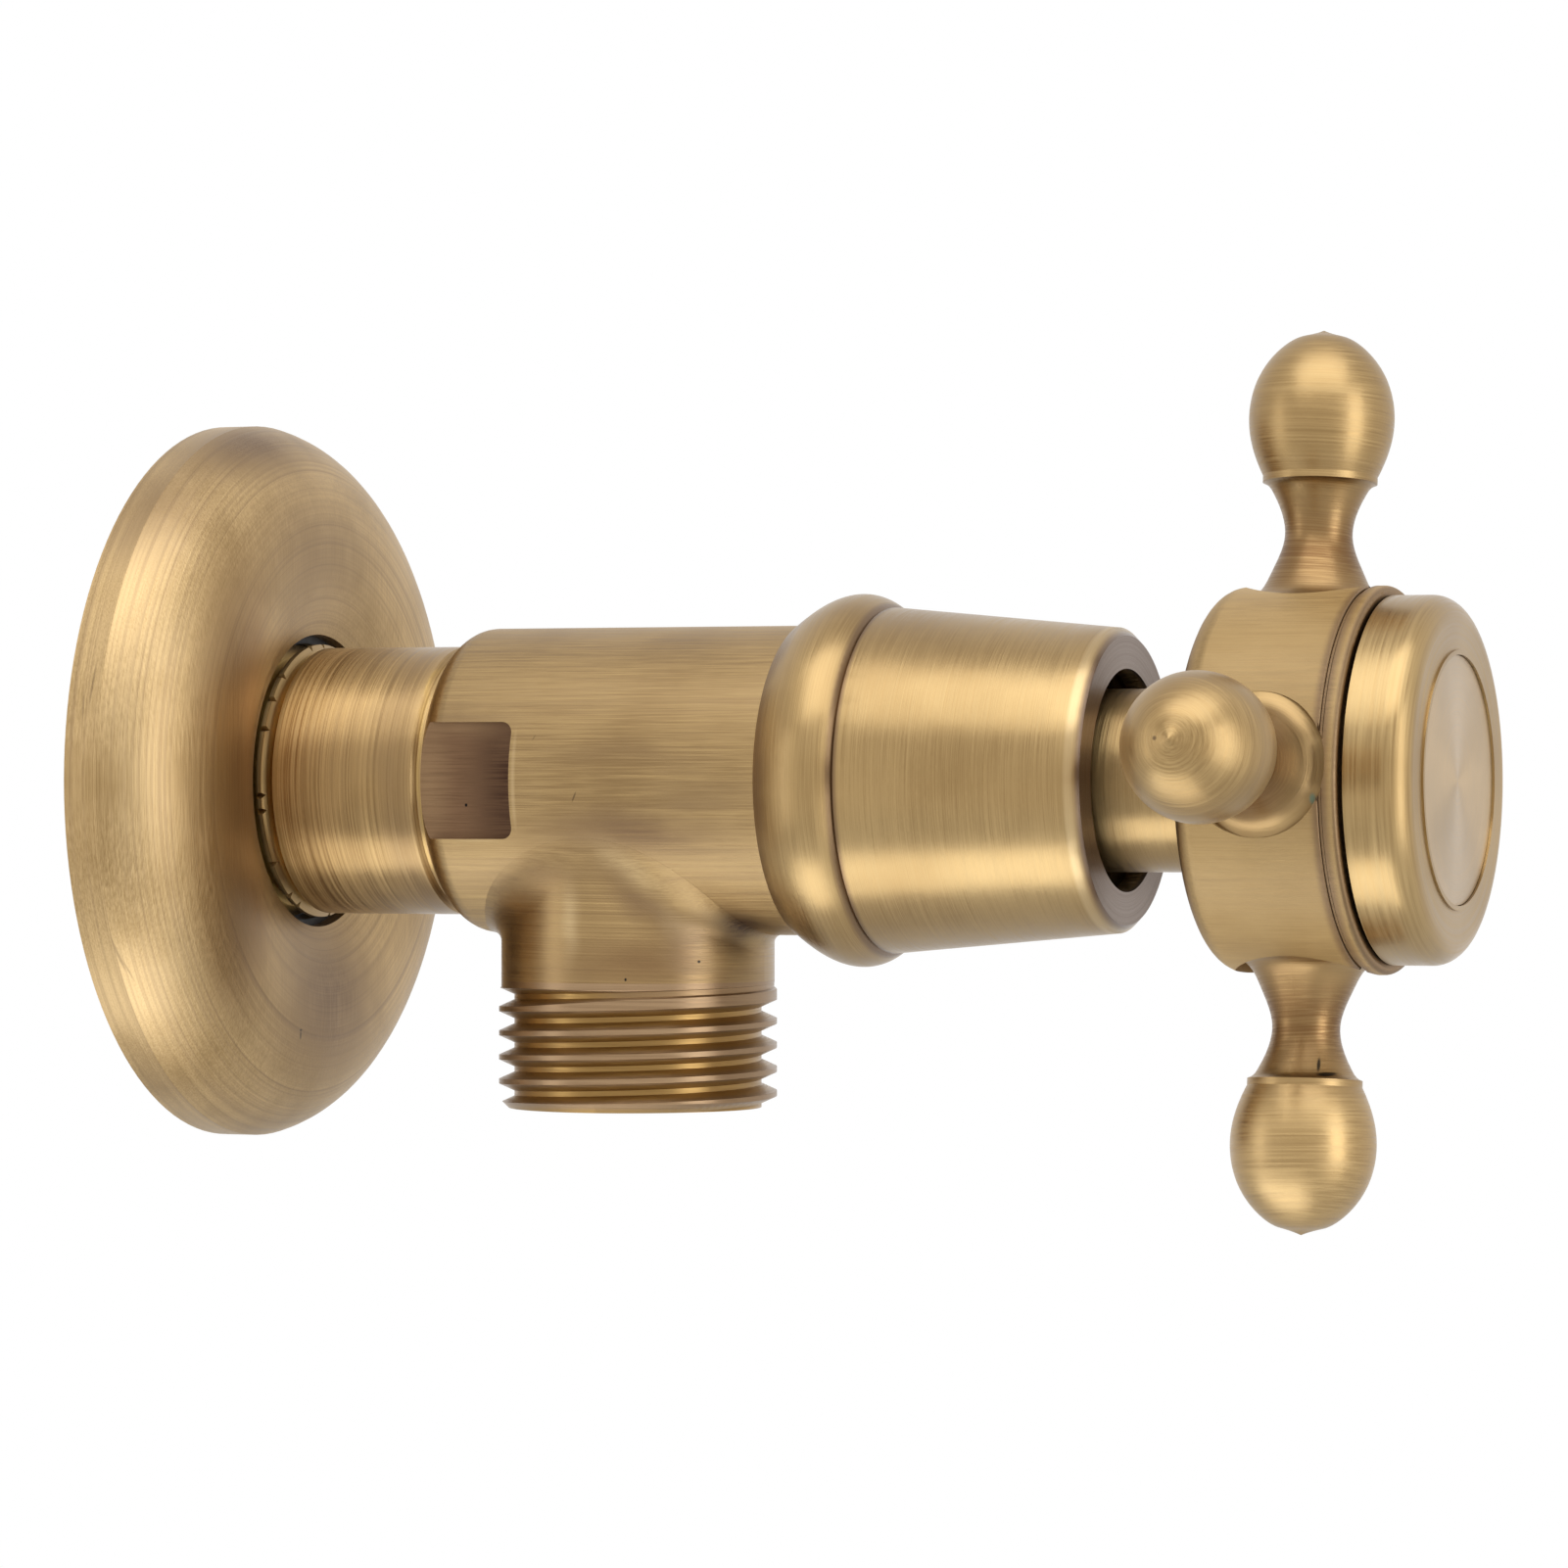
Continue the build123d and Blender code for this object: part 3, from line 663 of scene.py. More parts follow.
@dataclass
class Studio:
    """Camera, floor, world and lamps. Lengths in metres."""

    target: Place = (0.045948, 0.0, -0.000262)
    distance: float = 0.46692
    azimuth: float = 22.156
    sensor: float = 36.0
    focal_pixels: float = 6382.67
    image_pixels: float = 1601.0
    floor_height: float = -0.12
    floor_radius: float = 0.47
    floor_fade: Point = (0.35, 0.98)
    world_fill: float = 0.5
    lamps: Sequence[Softbox] = (
        Softbox("softbox_top", (0.13, -0.20, 0.40), 0.60, 0.40, 1.85),
        Softbox("softbox_low", (0.03, -0.065, -0.117), 0.17, 0.08, 0.100, (0.03, -0.065, 0.0)),
        Softbox("softbox_left", (-0.40, -0.34, 0.0), 0.16, 0.50, 0.40),
        Softbox("softbox_right", (0.50, -0.13, 0.0), 0.20, 0.50, 1.08),
    )

    def camera(self) -> None:
        """Stand the camera where the photograph was taken from."""
        turn = math.radians(self.azimuth)
        target = Vector(self.target)
        back = Vector((math.sin(turn), -math.cos(turn), 0.0))
        data = bpy.data.cameras.new("camera")
        data.sensor_width = self.sensor
        data.lens = self.focal_pixels * self.sensor / self.image_pixels
        data.clip_start = 0.01
        data.clip_end = 20.0
        camera = bpy.data.objects.new("camera", data)
        bpy.context.scene.collection.objects.link(camera)
        camera.location = target + back * self.distance
        camera.rotation_euler = (-back).to_track_quat("-Z", "Y").to_euler()
        bpy.context.scene.camera = camera

    def floor(self) -> None:
        """Lay a plain pale floor, which keeps the part's shadow and fades into the white background."""
        bm = bmesh.new()
        middle = (self.target[0], 0.0, self.floor_height)
        bmesh.ops.create_circle(bm, cap_ends=True, segments=96, radius=self.floor_radius,
                                matrix=Matrix.Translation(middle))
        floor = object_from(bm, "studio_floor")
        graph = Graph("floor_paint")
        place = graph.vector("SUBTRACT", graph.node("ShaderNodeTexCoord").outputs["Object"], middle)
        near, far = (share * self.floor_radius for share in self.floor_fade)
        fade = graph.ramp(graph.vector("LENGTH", place), near, far)
        grain = graph.noise(place, 60.0, 3.0)
        shader = graph.node("ShaderNodeBsdfPrincipled")
        graph.join(graph.mix(grain, (0.86, 0.86, 0.86), (0.90, 0.90, 0.90)), shader.inputs["Base Color"])
        shader.inputs["Roughness"].default_value = 0.8
        clear = graph.node("ShaderNodeBsdfTransparent")
        both = graph.node("ShaderNodeMixShader")
        graph.join(fade, both.inputs[0])
        graph.join(shader.outputs[0], both.inputs[1])
        graph.join(clear.outputs[0], both.inputs[2])
        out = graph.node("ShaderNodeOutputMaterial")
        graph.join(both.outputs[0], out.inputs["Surface"])
        dress(floor, graph.material)

    def world(self) -> None:
        """Make a white surround: full white to the eye and in the metal, softer as a light."""
        world = bpy.data.worlds.new("studio_world")
        world.use_nodes = True
        tree = world.node_tree
        path = tree.nodes.new("ShaderNodeLightPath")
        seen = tree.nodes.new("ShaderNodeMath")
        seen.operation = "MAXIMUM"
        tree.links.new(path.outputs["Is Camera Ray"], seen.inputs[0])
        tree.links.new(path.outputs["Is Glossy Ray"], seen.inputs[1])
        through = tree.nodes.new("ShaderNodeMath")
        through.operation = "MAXIMUM"
        tree.links.new(seen.outputs[0], through.inputs[0])
        tree.links.new(path.outputs["Is Transmission Ray"], through.inputs[1])
        level = tree.nodes.new("ShaderNodeMapRange")
        level.inputs["To Min"].default_value = self.world_fill
        level.inputs["To Max"].default_value = 1.0
        tree.links.new(through.outputs[0], level.inputs["Value"])
        back = tree.nodes["Background"]
        back.inputs["Color"].default_value = (1.0, 1.0, 1.0, 1.0)
        tree.links.new(level.outputs[0], back.inputs["Strength"])
        bpy.context.scene.world = world

    def light(self) -> None:
        """Hang the soft lamps."""
        for lamp in self.lamps:
            data = bpy.data.lights.new(lamp.name, "AREA")
            data.shape = "RECTANGLE"
            data.size = lamp.width
            data.size_y = lamp.height
            data.energy = lamp.power
            data.color = lamp.colour
            made = bpy.data.objects.new(lamp.name, data)
            bpy.context.scene.collection.objects.link(made)
            made.location = lamp.place
            made.visible_camera = False
            facing = Vector(lamp.aim) - Vector(lamp.place)
            made.rotation_euler = facing.to_track_quat("-Z", "Y").to_euler()

    def build(self) -> None:
        """Set the whole studio up."""
        bpy.context.scene.view_settings.view_transform = "Standard"
        self.camera()
        self.floor()
        self.world()
        self.light()
        log.info("studio: camera, floor, world and %d lamps", len(self.lamps))


def object_from(bm: bmesh.types.BMesh, name: str) -> bpy.types.Object:
    """Turn a bmesh into a linked object at the origin.

    Args:
        bm: finished mesh, which is freed.
        name: name of the object.

    Returns:
        The new object.
    """
    mesh = bpy.data.meshes.new(name)
    bm.to_mesh(mesh)
    bm.free()
    piece = bpy.data.objects.new(name, mesh)
    bpy.context.scene.collection.objects.link(piece)
    return piece


def object_mesh(piece: bpy.types.Object) -> bpy.types.Mesh:
    """A new mesh of a piece with its modifiers worked in."""
    view = bpy.context.evaluated_depsgraph_get()
    return bpy.data.meshes.new_from_object(piece.evaluated_get(view))


def carve(piece: bpy.types.Object, tool: bpy.types.Object) -> None:
    """Cut one closed piece out of another and throw the tool away.

    Args:
        piece: closed piece that is kept.
        tool: closed piece that is cut away.
    """
    cut = piece.modifiers.new("carve", "BOOLEAN")
    cut.operation = "DIFFERENCE"
    cut.solver = "EXACT"
    cut.object = tool
    bpy.context.view_layer.update()
    mesh = object_mesh(piece)
    piece.modifiers.clear()
    piece.data = mesh
    bpy.data.objects.remove(tool)


def smooth_piece(piece: bpy.types.Object, crease: float = 28.0) -> None:
    """Shade a piece smoothly but for its real edges.

    Args:
        piece: the object.
        crease: angle from which an edge stays sharp, in degrees.
    """
    piece.data.shade_smooth()
    piece.data.set_sharp_from_angle(angle=math.radians(crease))
    weighted = piece.modifiers.new("weighted_normals", "WEIGHTED_NORMAL")
    weighted.keep_sharp = True
    weighted.weight = 100


def keep_normals(piece: bpy.types.Object, node: str) -> None:
    """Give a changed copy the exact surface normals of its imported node, and new faces their own.

    Args:
        piece: the changed copy.
        node: name of the node it was copied from.
    """
    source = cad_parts[node].data
    source.calc_loop_triangles()
    corners = [vert.co.copy() for vert in source.vertices]
    triangles = source.loop_triangles
    inset = 0.02
    reach = 0.004 * MM
    tree = BVHTree.FromPolygons(corners, [tuple(triangle.vertices) for triangle in triangles])
    normals = []
    for face in piece.data.polygons:
        for index in face.vertices:
            place = piece.data.vertices[index].co
            _, _, nearest, distance = tree.find_nearest(place.lerp(face.center, inset))
            if distance > reach:
                normals.append(face.normal)
                continue
            triangle = triangles[nearest]
            shares = poly_3d_calc([corners[corner] for corner in triangle.vertices], place)
            normal = Vector()
            for share, loop in zip(shares, triangle.loops):
                normal += source.corner_normals[loop].vector * share
            normals.append(normal.normalized())
    piece.data.shade_smooth()
    piece.data.normals_split_custom_set(normals)


def copy_of(node: str) -> bmesh.types.BMesh:
    """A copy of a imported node's mesh with its loose triangles merged.

    Args:
        node: name of the node.

    Returns:
        The merged copy.
    """
    bm = bmesh.new()
    bm.from_mesh(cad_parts[node].data)
    bmesh.ops.remove_doubles(bm, verts=bm.verts, dist=2 * TOUCHING * MM)
    return bm


def cut_ring(bm: bmesh.types.BMesh, point: Place, outward: Place) -> None:
    """Cut off a bored end square and close the ring that is left.

    Args:
        bm: mesh to cut.
        point: point of the plane, in millimetres.
        outward: side that is taken away.
    """
    parts = bm.verts[:] + bm.edges[:] + bm.faces[:]
    made = bmesh.ops.bisect_plane(bm, geom=parts, dist=1e-7, plane_co=Vector(point) * MM,
                                  plane_no=outward, clear_outer=True)
    rim = [part for part in made["geom_cut"] if isinstance(part, bmesh.types.BMEdge)]
    bmesh.ops.bridge_loops(bm, edges=rim)


def lathe(outline: Sequence[Point], steps: int = 192) -> bmesh.types.BMesh:
    """Spin a closed half section about the local Z axis.

    Args:
        outline: corners as radius and height, in millimetres.
        steps: facets round the axis.

    Returns:
        A closed mesh.
    """
    bm = bmesh.new()
    corners = [bm.verts.new((radius * MM, 0.0, height * MM)) for radius, height in outline]
    edges = [bm.edges.new((corners[place - 1], corner)) for place, corner in enumerate(corners)]
    bmesh.ops.spin(bm, geom=corners + edges, cent=(0, 0, 0), axis=(0, 0, 1), angle=math.tau,
                   steps=steps, use_merge=True)
    bmesh.ops.remove_doubles(bm, verts=bm.verts, dist=TOUCHING * MM)
    bmesh.ops.recalc_face_normals(bm, faces=bm.faces)
    return bm


def soften(bm: bmesh.types.BMesh, width: float, crease: float = 30.0, segments: int = 2) -> None:
    """Round every edge that is sharper than the crease angle.

    Args:
        bm: mesh to work on.
        width: width of the rounding, in millimetres.
        crease: smallest angle that is rounded, in degrees.
        segments: facets of the rounding.
    """
    limit = math.radians(crease)
    sharp = [edge for edge in bm.edges if len(edge.link_faces) == 2 and edge.calc_face_angle(0.0) > limit]
    bmesh.ops.bevel(bm, geom=sharp, offset=width * MM, offset_type="OFFSET", affect="EDGES",
                    segments=segments, profile=0.5, material=-1, clamp_overlap=True)


def ring_bar(outline: Sequence[Point], steps: int = 192) -> bmesh.types.BMesh:
    """Spin a half section about the valve axis.

    Args:
        outline: corners as station and radius, in millimetres.
        steps: facets round the axis.

    Returns:
        A closed mesh in the row frame.
    """
    bm = lathe([(radius, station) for station, radius in outline], steps)
    bmesh.ops.rotate(bm, cent=(0, 0, 0), matrix=Matrix.Rotation(math.pi / 2, 3, "Y"), verts=bm.verts)
    return bm


@dataclass(frozen=True)
class PipeThread:
    """The half-inch pipe thread: one helical groove cut into a bored blank, in millimetres."""

    crest: float = 10.4775
    pitch: float = 1.8143
    depth: float = 1.16
    land: float = 0.38
    spare: float = 0.15
    steps: int = 96

    def groove(self, start: float, turns: float, fade: Sequence[Point]) -> bmesh.types.BMesh:
        """The helical groove as a closed solid, rising about +Z.

        Args:
            start: height of the groove's middle where it crosses +X below the blank.
            turns: number of turns.
            fade: pairs of turn and share of the full depth, for the run-out.

        Returns:
            A closed mesh.
        """
        root = self.crest - self.depth
        clear = self.crest + self.spare
        slope = (self.pitch / 2 - self.land) / self.depth
        foot = self.land / 2
        top = foot + slope * (self.depth + self.spare)
        bm = bmesh.new()
        section = ((root, -foot), (clear, -top), (clear, top), (root, foot))
        corners = [bm.verts.new((radius * MM, 0.0, (start + height) * MM)) for radius, height in section]
        face = bm.faces.new(corners)
        count = round(self.steps * turns)
        bmesh.ops.spin(bm, geom=[face, *face.edges, *corners], cent=(0, 0, 0), axis=(0, 0, 1),
                       dvec=(0, 0, turns * self.pitch * MM / count), angle=math.tau * turns, steps=count)
        for vert in bm.verts:
            part = (math.atan2(vert.co.y, vert.co.x) / math.tau) % 1.0
            turn = round((vert.co.z / MM - start) / self.pitch - part) + part
            lift = self.depth * (1.0 - share_at(fade, turn))
            flat = Vector((vert.co.x, vert.co.y, 0.0)).normalized()
            vert.co += flat * lift * MM
        bmesh.ops.recalc_face_normals(bm, faces=bm.faces)
        return bm


def share_at(fade: Sequence[Point], turn: float) -> float:
    """Read a broken line.

    Args:
        fade: its corners as pairs, in rising order.
        turn: where to read it.

    Returns:
        The value there, held level past the ends.
    """
    if turn <= fade[0][0]:
        return fade[0][1]
    for (low, first), (high, second) in zip(fade, fade[1:]):
        if turn <= high:
            return first + (second - first) * (turn - low) / (high - low)
    return fade[-1][1]


@dataclass
class ValveBody:
    """The body: casting with its wrench flats, soft outlet blend and two cut threads, in millimetres."""

    outlet_x: float = 34.0675
    outlet_cut: float = -15.0
    outlet_end: float = -24.6
    boss_radius: float = 10.2975
    outlet_bore: float = 6.8175
    inlet_cut: float = 8.8
    inlet_end: float = -8.0
    inlet_bore: float = 5.9975
    shank_radius: float = 10.1975
    shank_start: float = 8.4
    shoulder: float = 20.6
    barrel_radius: float = 11.5475
    flat_start: float = 21.6
    flat_end: float = 28.65
    flat_half_height: float = 4.6
    flat_from_axis: float = 10.2
    flat_sink: float = 0.12
    boss_top: float = -5.3
    chamfer: float = 0.7
    blend_hollow: Point = (1.32, 6.5)
    blend_sink: float = 1.0
    blend_steps: tuple[int, int] = (144, 16)
    crest_top: float = -15.72
    boss_end: float = -15.50
    bore_chamfer: float = 0.4
    outlet_groove: float = -26.3815
    outlet_turns: float = 6.3
    outlet_fade: Sequence[Point] = ((5.66, 1.0), (5.80, 0.30), (6.10, 0.16), (6.30, -0.2))
    inlet_groove: float = -6.3
    inlet_turns: float = 8.6
    collar_back: float = 8.12
    collar: Point = (7.594, 7.214)
    collar_front: float = 6.69
    relief_end: float = 5.93
    inlet_crest: float = 5.4
    nick_count: int = 20
    nick_radius: float = 0.42
    nick_length: float = 1.3
    nick_height: float = -7.4
    nick_clearance: float = 0.02
    nick_wander: float = 0.35
    nick_rhythm: float = 2.4
    thread: PipeThread = PipeThread()
    thread_crease: float = 24.0

    def casting(self, finishes: "Finishes") -> bpy.types.Object:
        """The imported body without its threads: shank, barrel, flats and bores.

        Args:
            finishes: the materials.

        Returns:
            The finished piece.
        """
        bm = copy_of("valve_body")
        cut_ring(bm, (self.outlet_x, 0.0, self.outlet_cut), (0.0, 0.0, -1.0))
        cut_ring(bm, (self.inlet_cut, 0.0, 0.0), (-1.0, 0.0, 0.0))
        for face in bm.faces:
            face.material_index = self.finish_index(face)
        piece = object_from(bm, "body_casting")
        for finish in ("body_brass_axial", "shank_brass_turned", "flat_brass_milled", "boss_brass_turned"):
            piece.data.materials.append(finishes.made[finish])
        keep_normals(piece, "valve_body")
        return piece

    def finish_index(self, face: bmesh.types.BMFace) -> int:
        """Which of the casting's finishes a face has.

        Args:
            face: face of the casting.

        Returns:
            0 for the polished barrel, 1 for the turned shank, 2 for the milled flats with
            their walls, 3 for the boss.
        """
        centre = face.calc_center_median() / MM
        if centre.x < self.shoulder:
            return 1
        from_outlet = math.hypot(centre.x - self.outlet_x, centre.y)
        if centre.z < self.boss_top and from_outlet < self.boss_radius + 0.02:
            return 3
        sideways = abs(face.normal.y)
        floor = sideways > 0.99
        wall = sideways < 0.5 and centre.x > self.flat_start
        sunk = math.hypot(centre.y, centre.z) < self.barrel_radius - self.flat_sink
        level = abs(centre.z) < self.flat_half_height and abs(centre.y) > self.flat_from_axis
        return 2 if (floor or wall) and sunk and level and centre.x < self.flat_end else 0

    def blend(self) -> bpy.types.Object:
        """The soft shoulder between barrel and outlet, as wide as a polished casting's.

        Returns:
            The finished piece, bare of material.
        """
        bm = bmesh.new()
        around, across = self.blend_steps
        bmesh.ops.create_grid(bm, x_segments=around, y_segments=across, size=0.5)
        for vert in bm.verts:
            vert.co = self.blend_point(math.tau * (vert.co.x + 0.5), vert.co.y + 0.5)
        bmesh.ops.remove_doubles(bm, verts=bm.verts, dist=TOUCHING * MM)
        bmesh.ops.recalc_face_normals(bm, faces=bm.faces)
        return object_from(bm, "outlet_blend")

    def blend_point(self, turn: float, share: float) -> Vector:
        """A point of the blend's closed section.

        Args:
            turn: angle round the outlet, from +X.
            share: 0 to 0.8 along the hollow from boss to barrel, then back inside the wall.

        Returns:
            The point in the row frame, in metres.
        """
        least, swell = self.blend_hollow
        ball = least + swell * math.sin(turn) ** 4
        reach = self.boss_radius + ball
        side = reach * math.sin(turn)
        drop = -math.sqrt((self.barrel_radius + ball) ** 2 - side ** 2)
        centre = Vector((self.outlet_x + reach * math.cos(turn), side, drop))
        on_boss = Vector((self.outlet_x + self.boss_radius * math.cos(turn),
                          self.boss_radius * math.sin(turn), drop))
        on_barrel = Vector((centre.x, side, drop))
        on_barrel.yz *= self.barrel_radius / (self.barrel_radius + ball)
        hollow = 0.8
        if share <= hollow:
            first = on_boss - centre
            second = on_barrel - centre
            return (centre + first.slerp(second, share / hollow) * ball) * MM
        sunk_boss, sunk_barrel = self.boss_radius - self.blend_sink, self.barrel_radius - self.blend_sink
        depth = -math.sqrt(sunk_barrel ** 2 - (sunk_boss * math.sin(turn)) ** 2)
        inner = Vector((self.outlet_x + sunk_boss * math.cos(turn), sunk_boss * math.sin(turn), depth))
        back = (share - hollow) / (1.0 - hollow)
        return (on_barrel.lerp(inner, back * 2) if back <= 0.5 else inner.lerp(on_boss, back * 2 - 1)) * MM

    def outlet_thread(self) -> bpy.types.Object:
        """The outlet's bored end with its right-hand thread and run-out.

        Returns:
            The finished piece, bare of material.
        """
        crest = self.thread.crest
        start = self.outlet_end
        bm = lathe([
            (self.outlet_bore, self.outlet_cut), (self.outlet_bore, start + self.bore_chamfer),
            (self.outlet_bore + self.bore_chamfer, start), (crest - self.chamfer, start),
            (crest, start + self.chamfer), (crest, self.crest_top), (self.boss_radius, self.boss_end),
            (self.boss_radius, self.outlet_cut),
        ])
        blank = object_from(bm, "outlet_thread")
        groove = self.thread.groove(self.outlet_groove, self.outlet_turns, self.outlet_fade)
        carve(blank, object_from(groove, "groove_tool"))
        blank.data.transform(Matrix.Translation((self.outlet_x * MM, 0.0, 0.0)))
        return blank

    def inlet_thread(self) -> bpy.types.Object:
        """The inlet's bored end: thread, run-out groove and the nicked collar beside the shank.

        Returns:
            The finished piece, bare of material.
        """
        crest = self.thread.crest
        root = crest - self.thread.depth
        bm = lathe([
            (self.inlet_bore, -self.inlet_cut), (self.shank_radius, -self.inlet_cut),
            (self.shank_radius, -self.shank_start), (root, -self.shank_start), (root, -self.collar_back),
            (crest, -self.collar[0]), (crest, -self.collar[1]), (root, -self.collar_front),
            (root, -self.relief_end), (crest, -self.inlet_crest),
            (crest, -self.inlet_end - self.chamfer), (crest - self.chamfer, -self.inlet_end),
            (self.inlet_bore + self.bore_chamfer, -self.inlet_end),
            (self.inlet_bore, -self.inlet_end - self.bore_chamfer),
        ])
        blank = object_from(bm, "inlet_thread")
        even = ((0.0, 1.0), (self.inlet_turns, 1.0))
        groove = self.thread.groove(self.inlet_groove, self.inlet_turns, even)
        carve(blank, object_from(groove, "groove_tool"))
        carve(blank, object_from(self.nicks(), "nick_tool"))
        blank.data.transform(Matrix.Rotation(-math.pi / 2, 4, "Y"))
        return blank

    def nicks(self) -> bmesh.types.BMesh:
        """Small saw nicks across the collar, which grip the sealing tape.

        Returns:
            Closed wedges round the local Z axis.
        """
        bm = bmesh.new()
        reach = self.thread.crest + self.nick_clearance
        for place in range(self.nick_count):
            wander = self.nick_wander * math.sin(self.nick_rhythm * place)
            turn = math.tau * (place + wander) / self.nick_count
            made = bmesh.ops.create_cone(bm, cap_ends=True, segments=3, radius1=self.nick_radius * MM,
                                         radius2=self.nick_radius * MM, depth=self.nick_length * MM)
            out = Matrix.Translation((reach * MM, 0.0, self.nick_height * MM))
            spot = Matrix.Rotation(turn, 4, "Z") @ out @ Matrix.Rotation(math.pi / 2, 4, "Z")
            bmesh.ops.transform(bm, matrix=spot, verts=made["verts"])
        bmesh.ops.recalc_face_normals(bm, faces=bm.faces)
        return bm

    def build(self, finishes: "Finishes") -> None:
        """Make and dress every piece of the body.

        Args:
            finishes: the materials.
        """
        casting = self.casting(finishes)
        blend = self.blend()
        smooth_piece(blend)
        dress(blend, finishes.made["boss_brass_turned"])
        outlet = self.outlet_thread()
        inlet = self.inlet_thread()
        for piece, finish in ((outlet, "outlet_brass_cut"), (inlet, "inlet_brass_cut")):
            smooth_piece(piece, self.thread_crease)
            dress(piece, finishes.made[finish])
        for piece in (casting, blend, outlet, inlet):
            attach(piece, "valve")
            log.info("%s: %d faces", piece.name, len(piece.data.polygons))
        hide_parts("valve_body")


@dataclass
class BonnetCover:
    """The conical cover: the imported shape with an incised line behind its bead, in millimetres."""

    groove_x: float = 54.795
    groove_width: float = 0.16
    groove_depth: float = 0.22
    outside: float = 12.0

    def on_groove(self, vert: bmesh.types.BMVert, spare: float) -> bool:
        """Whether a corner lies on the line round the cover's outside, give or take the spare."""
        level = abs(vert.co.x / MM - self.groove_x) < spare
        return level and Vector(vert.co.yz).length / MM > self.outside

    def build(self, finishes: "Finishes") -> None:
        """Make and dress the cover.

        Args:
            finishes: the materials.
        """
        bm = copy_of("bonnet_cover")
        ring = [edge for edge in bm.edges if all(self.on_groove(vert, 0.02) for vert in edge.verts)]
        bmesh.ops.bevel(bm, geom=ring, offset=self.groove_width * MM, offset_type="OFFSET",
                        affect="EDGES", segments=2, profile=0.5, material=-1)
        sunk = [vert for vert in bm.verts if self.on_groove(vert, 0.04)]
        for vert in sunk:
            radius = Vector(vert.co.yz).length
            vert.co.yz *= (radius - self.groove_depth * MM) / radius
        piece = object_from(bm, "cover_shell")
        smooth_piece(piece)
        dress(piece, finishes.made["cover_brass_turned"])
        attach(piece, "valve")
        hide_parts("bonnet_cover")
        log.info("%s: %d sunk corners, %d faces", piece.name, len(sunk), len(piece.data.polygons))


@dataclass
class HandleHub:
    """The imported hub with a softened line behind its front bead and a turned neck, in millimetres."""

    neck_end: float = 80.9
    line: Point = (91.845, 92.045)
    radius: float = 14.0
    edge: float = 0.15

    def on_line(self, edge: bmesh.types.BMEdge) -> bool:
        """Whether an edge is a rim of the line behind the bead.

        Args:
            edge: edge of the hub.

        Returns:
            True for the two rims.
        """
        first, second = (vert.co / MM for vert in edge.verts)
        level = any(max(abs(first.x - place), abs(second.x - place)) < 0.01 for place in self.line)
        return level and min(first.yz.length, second.yz.length) > self.radius - 0.02

    def build(self, finishes: "Finishes") -> None:
        """Make and dress the hub.

        Args:
            finishes: the materials.
        """
        bm = copy_of("handle_hub")
        rims = [edge for edge in bm.edges if self.on_line(edge)]
        bmesh.ops.bevel(bm, geom=rims, offset=self.edge * MM, offset_type="OFFSET", affect="EDGES",
                        segments=3, profile=0.5, material=-1)
        for face in bm.faces:
            face.material_index = int(face.calc_center_median().x < self.neck_end * MM)
        piece = object_from(bm, "hub_shell")
        for finish in ("hub_brass_axial", "neck_brass_turned"):
            piece.data.materials.append(finishes.made[finish])
        keep_normals(piece, "handle_hub")
        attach(piece, "handle")
        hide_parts("handle_hub")
        log.info("%s: %d rims, %d faces", piece.name, len(rims), len(piece.data.polygons))


@dataclass
class FlangeGapShadeRing:
    """Black ring behind the flange's hole, which fills the gap round the thread with painted shade, in
    millimetres.
    """

    start: float = 3.2
    thickness: float = 3.0
    inner: float = 10.56
    outer: float = 13.4
    # Lowered so that the ring closes the gap below the thread and leaves a thin opening above it.
    sag: float = 0.05

    def build(self, finishes: "Finishes") -> None:
        """Make and dress the ring.

        Args:
            finishes: the materials.
        """
        end = self.start + self.thickness
        bm = ring_bar([(self.start, self.inner), (end, self.inner),
                       (end, self.outer), (self.start, self.outer)], 128)
        soften(bm, 0.2)
        bmesh.ops.translate(bm, verts=bm.verts, vec=(0.0, 0.0, -self.sag * MM))
        piece = object_from(bm, "flange_gap_shade_ring")
        smooth_piece(piece)
        dress(piece, finishes.made["rubber_black"])
        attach(piece, "flange")
        log.info("%s: %d faces", piece.name, len(piece.data.polygons))


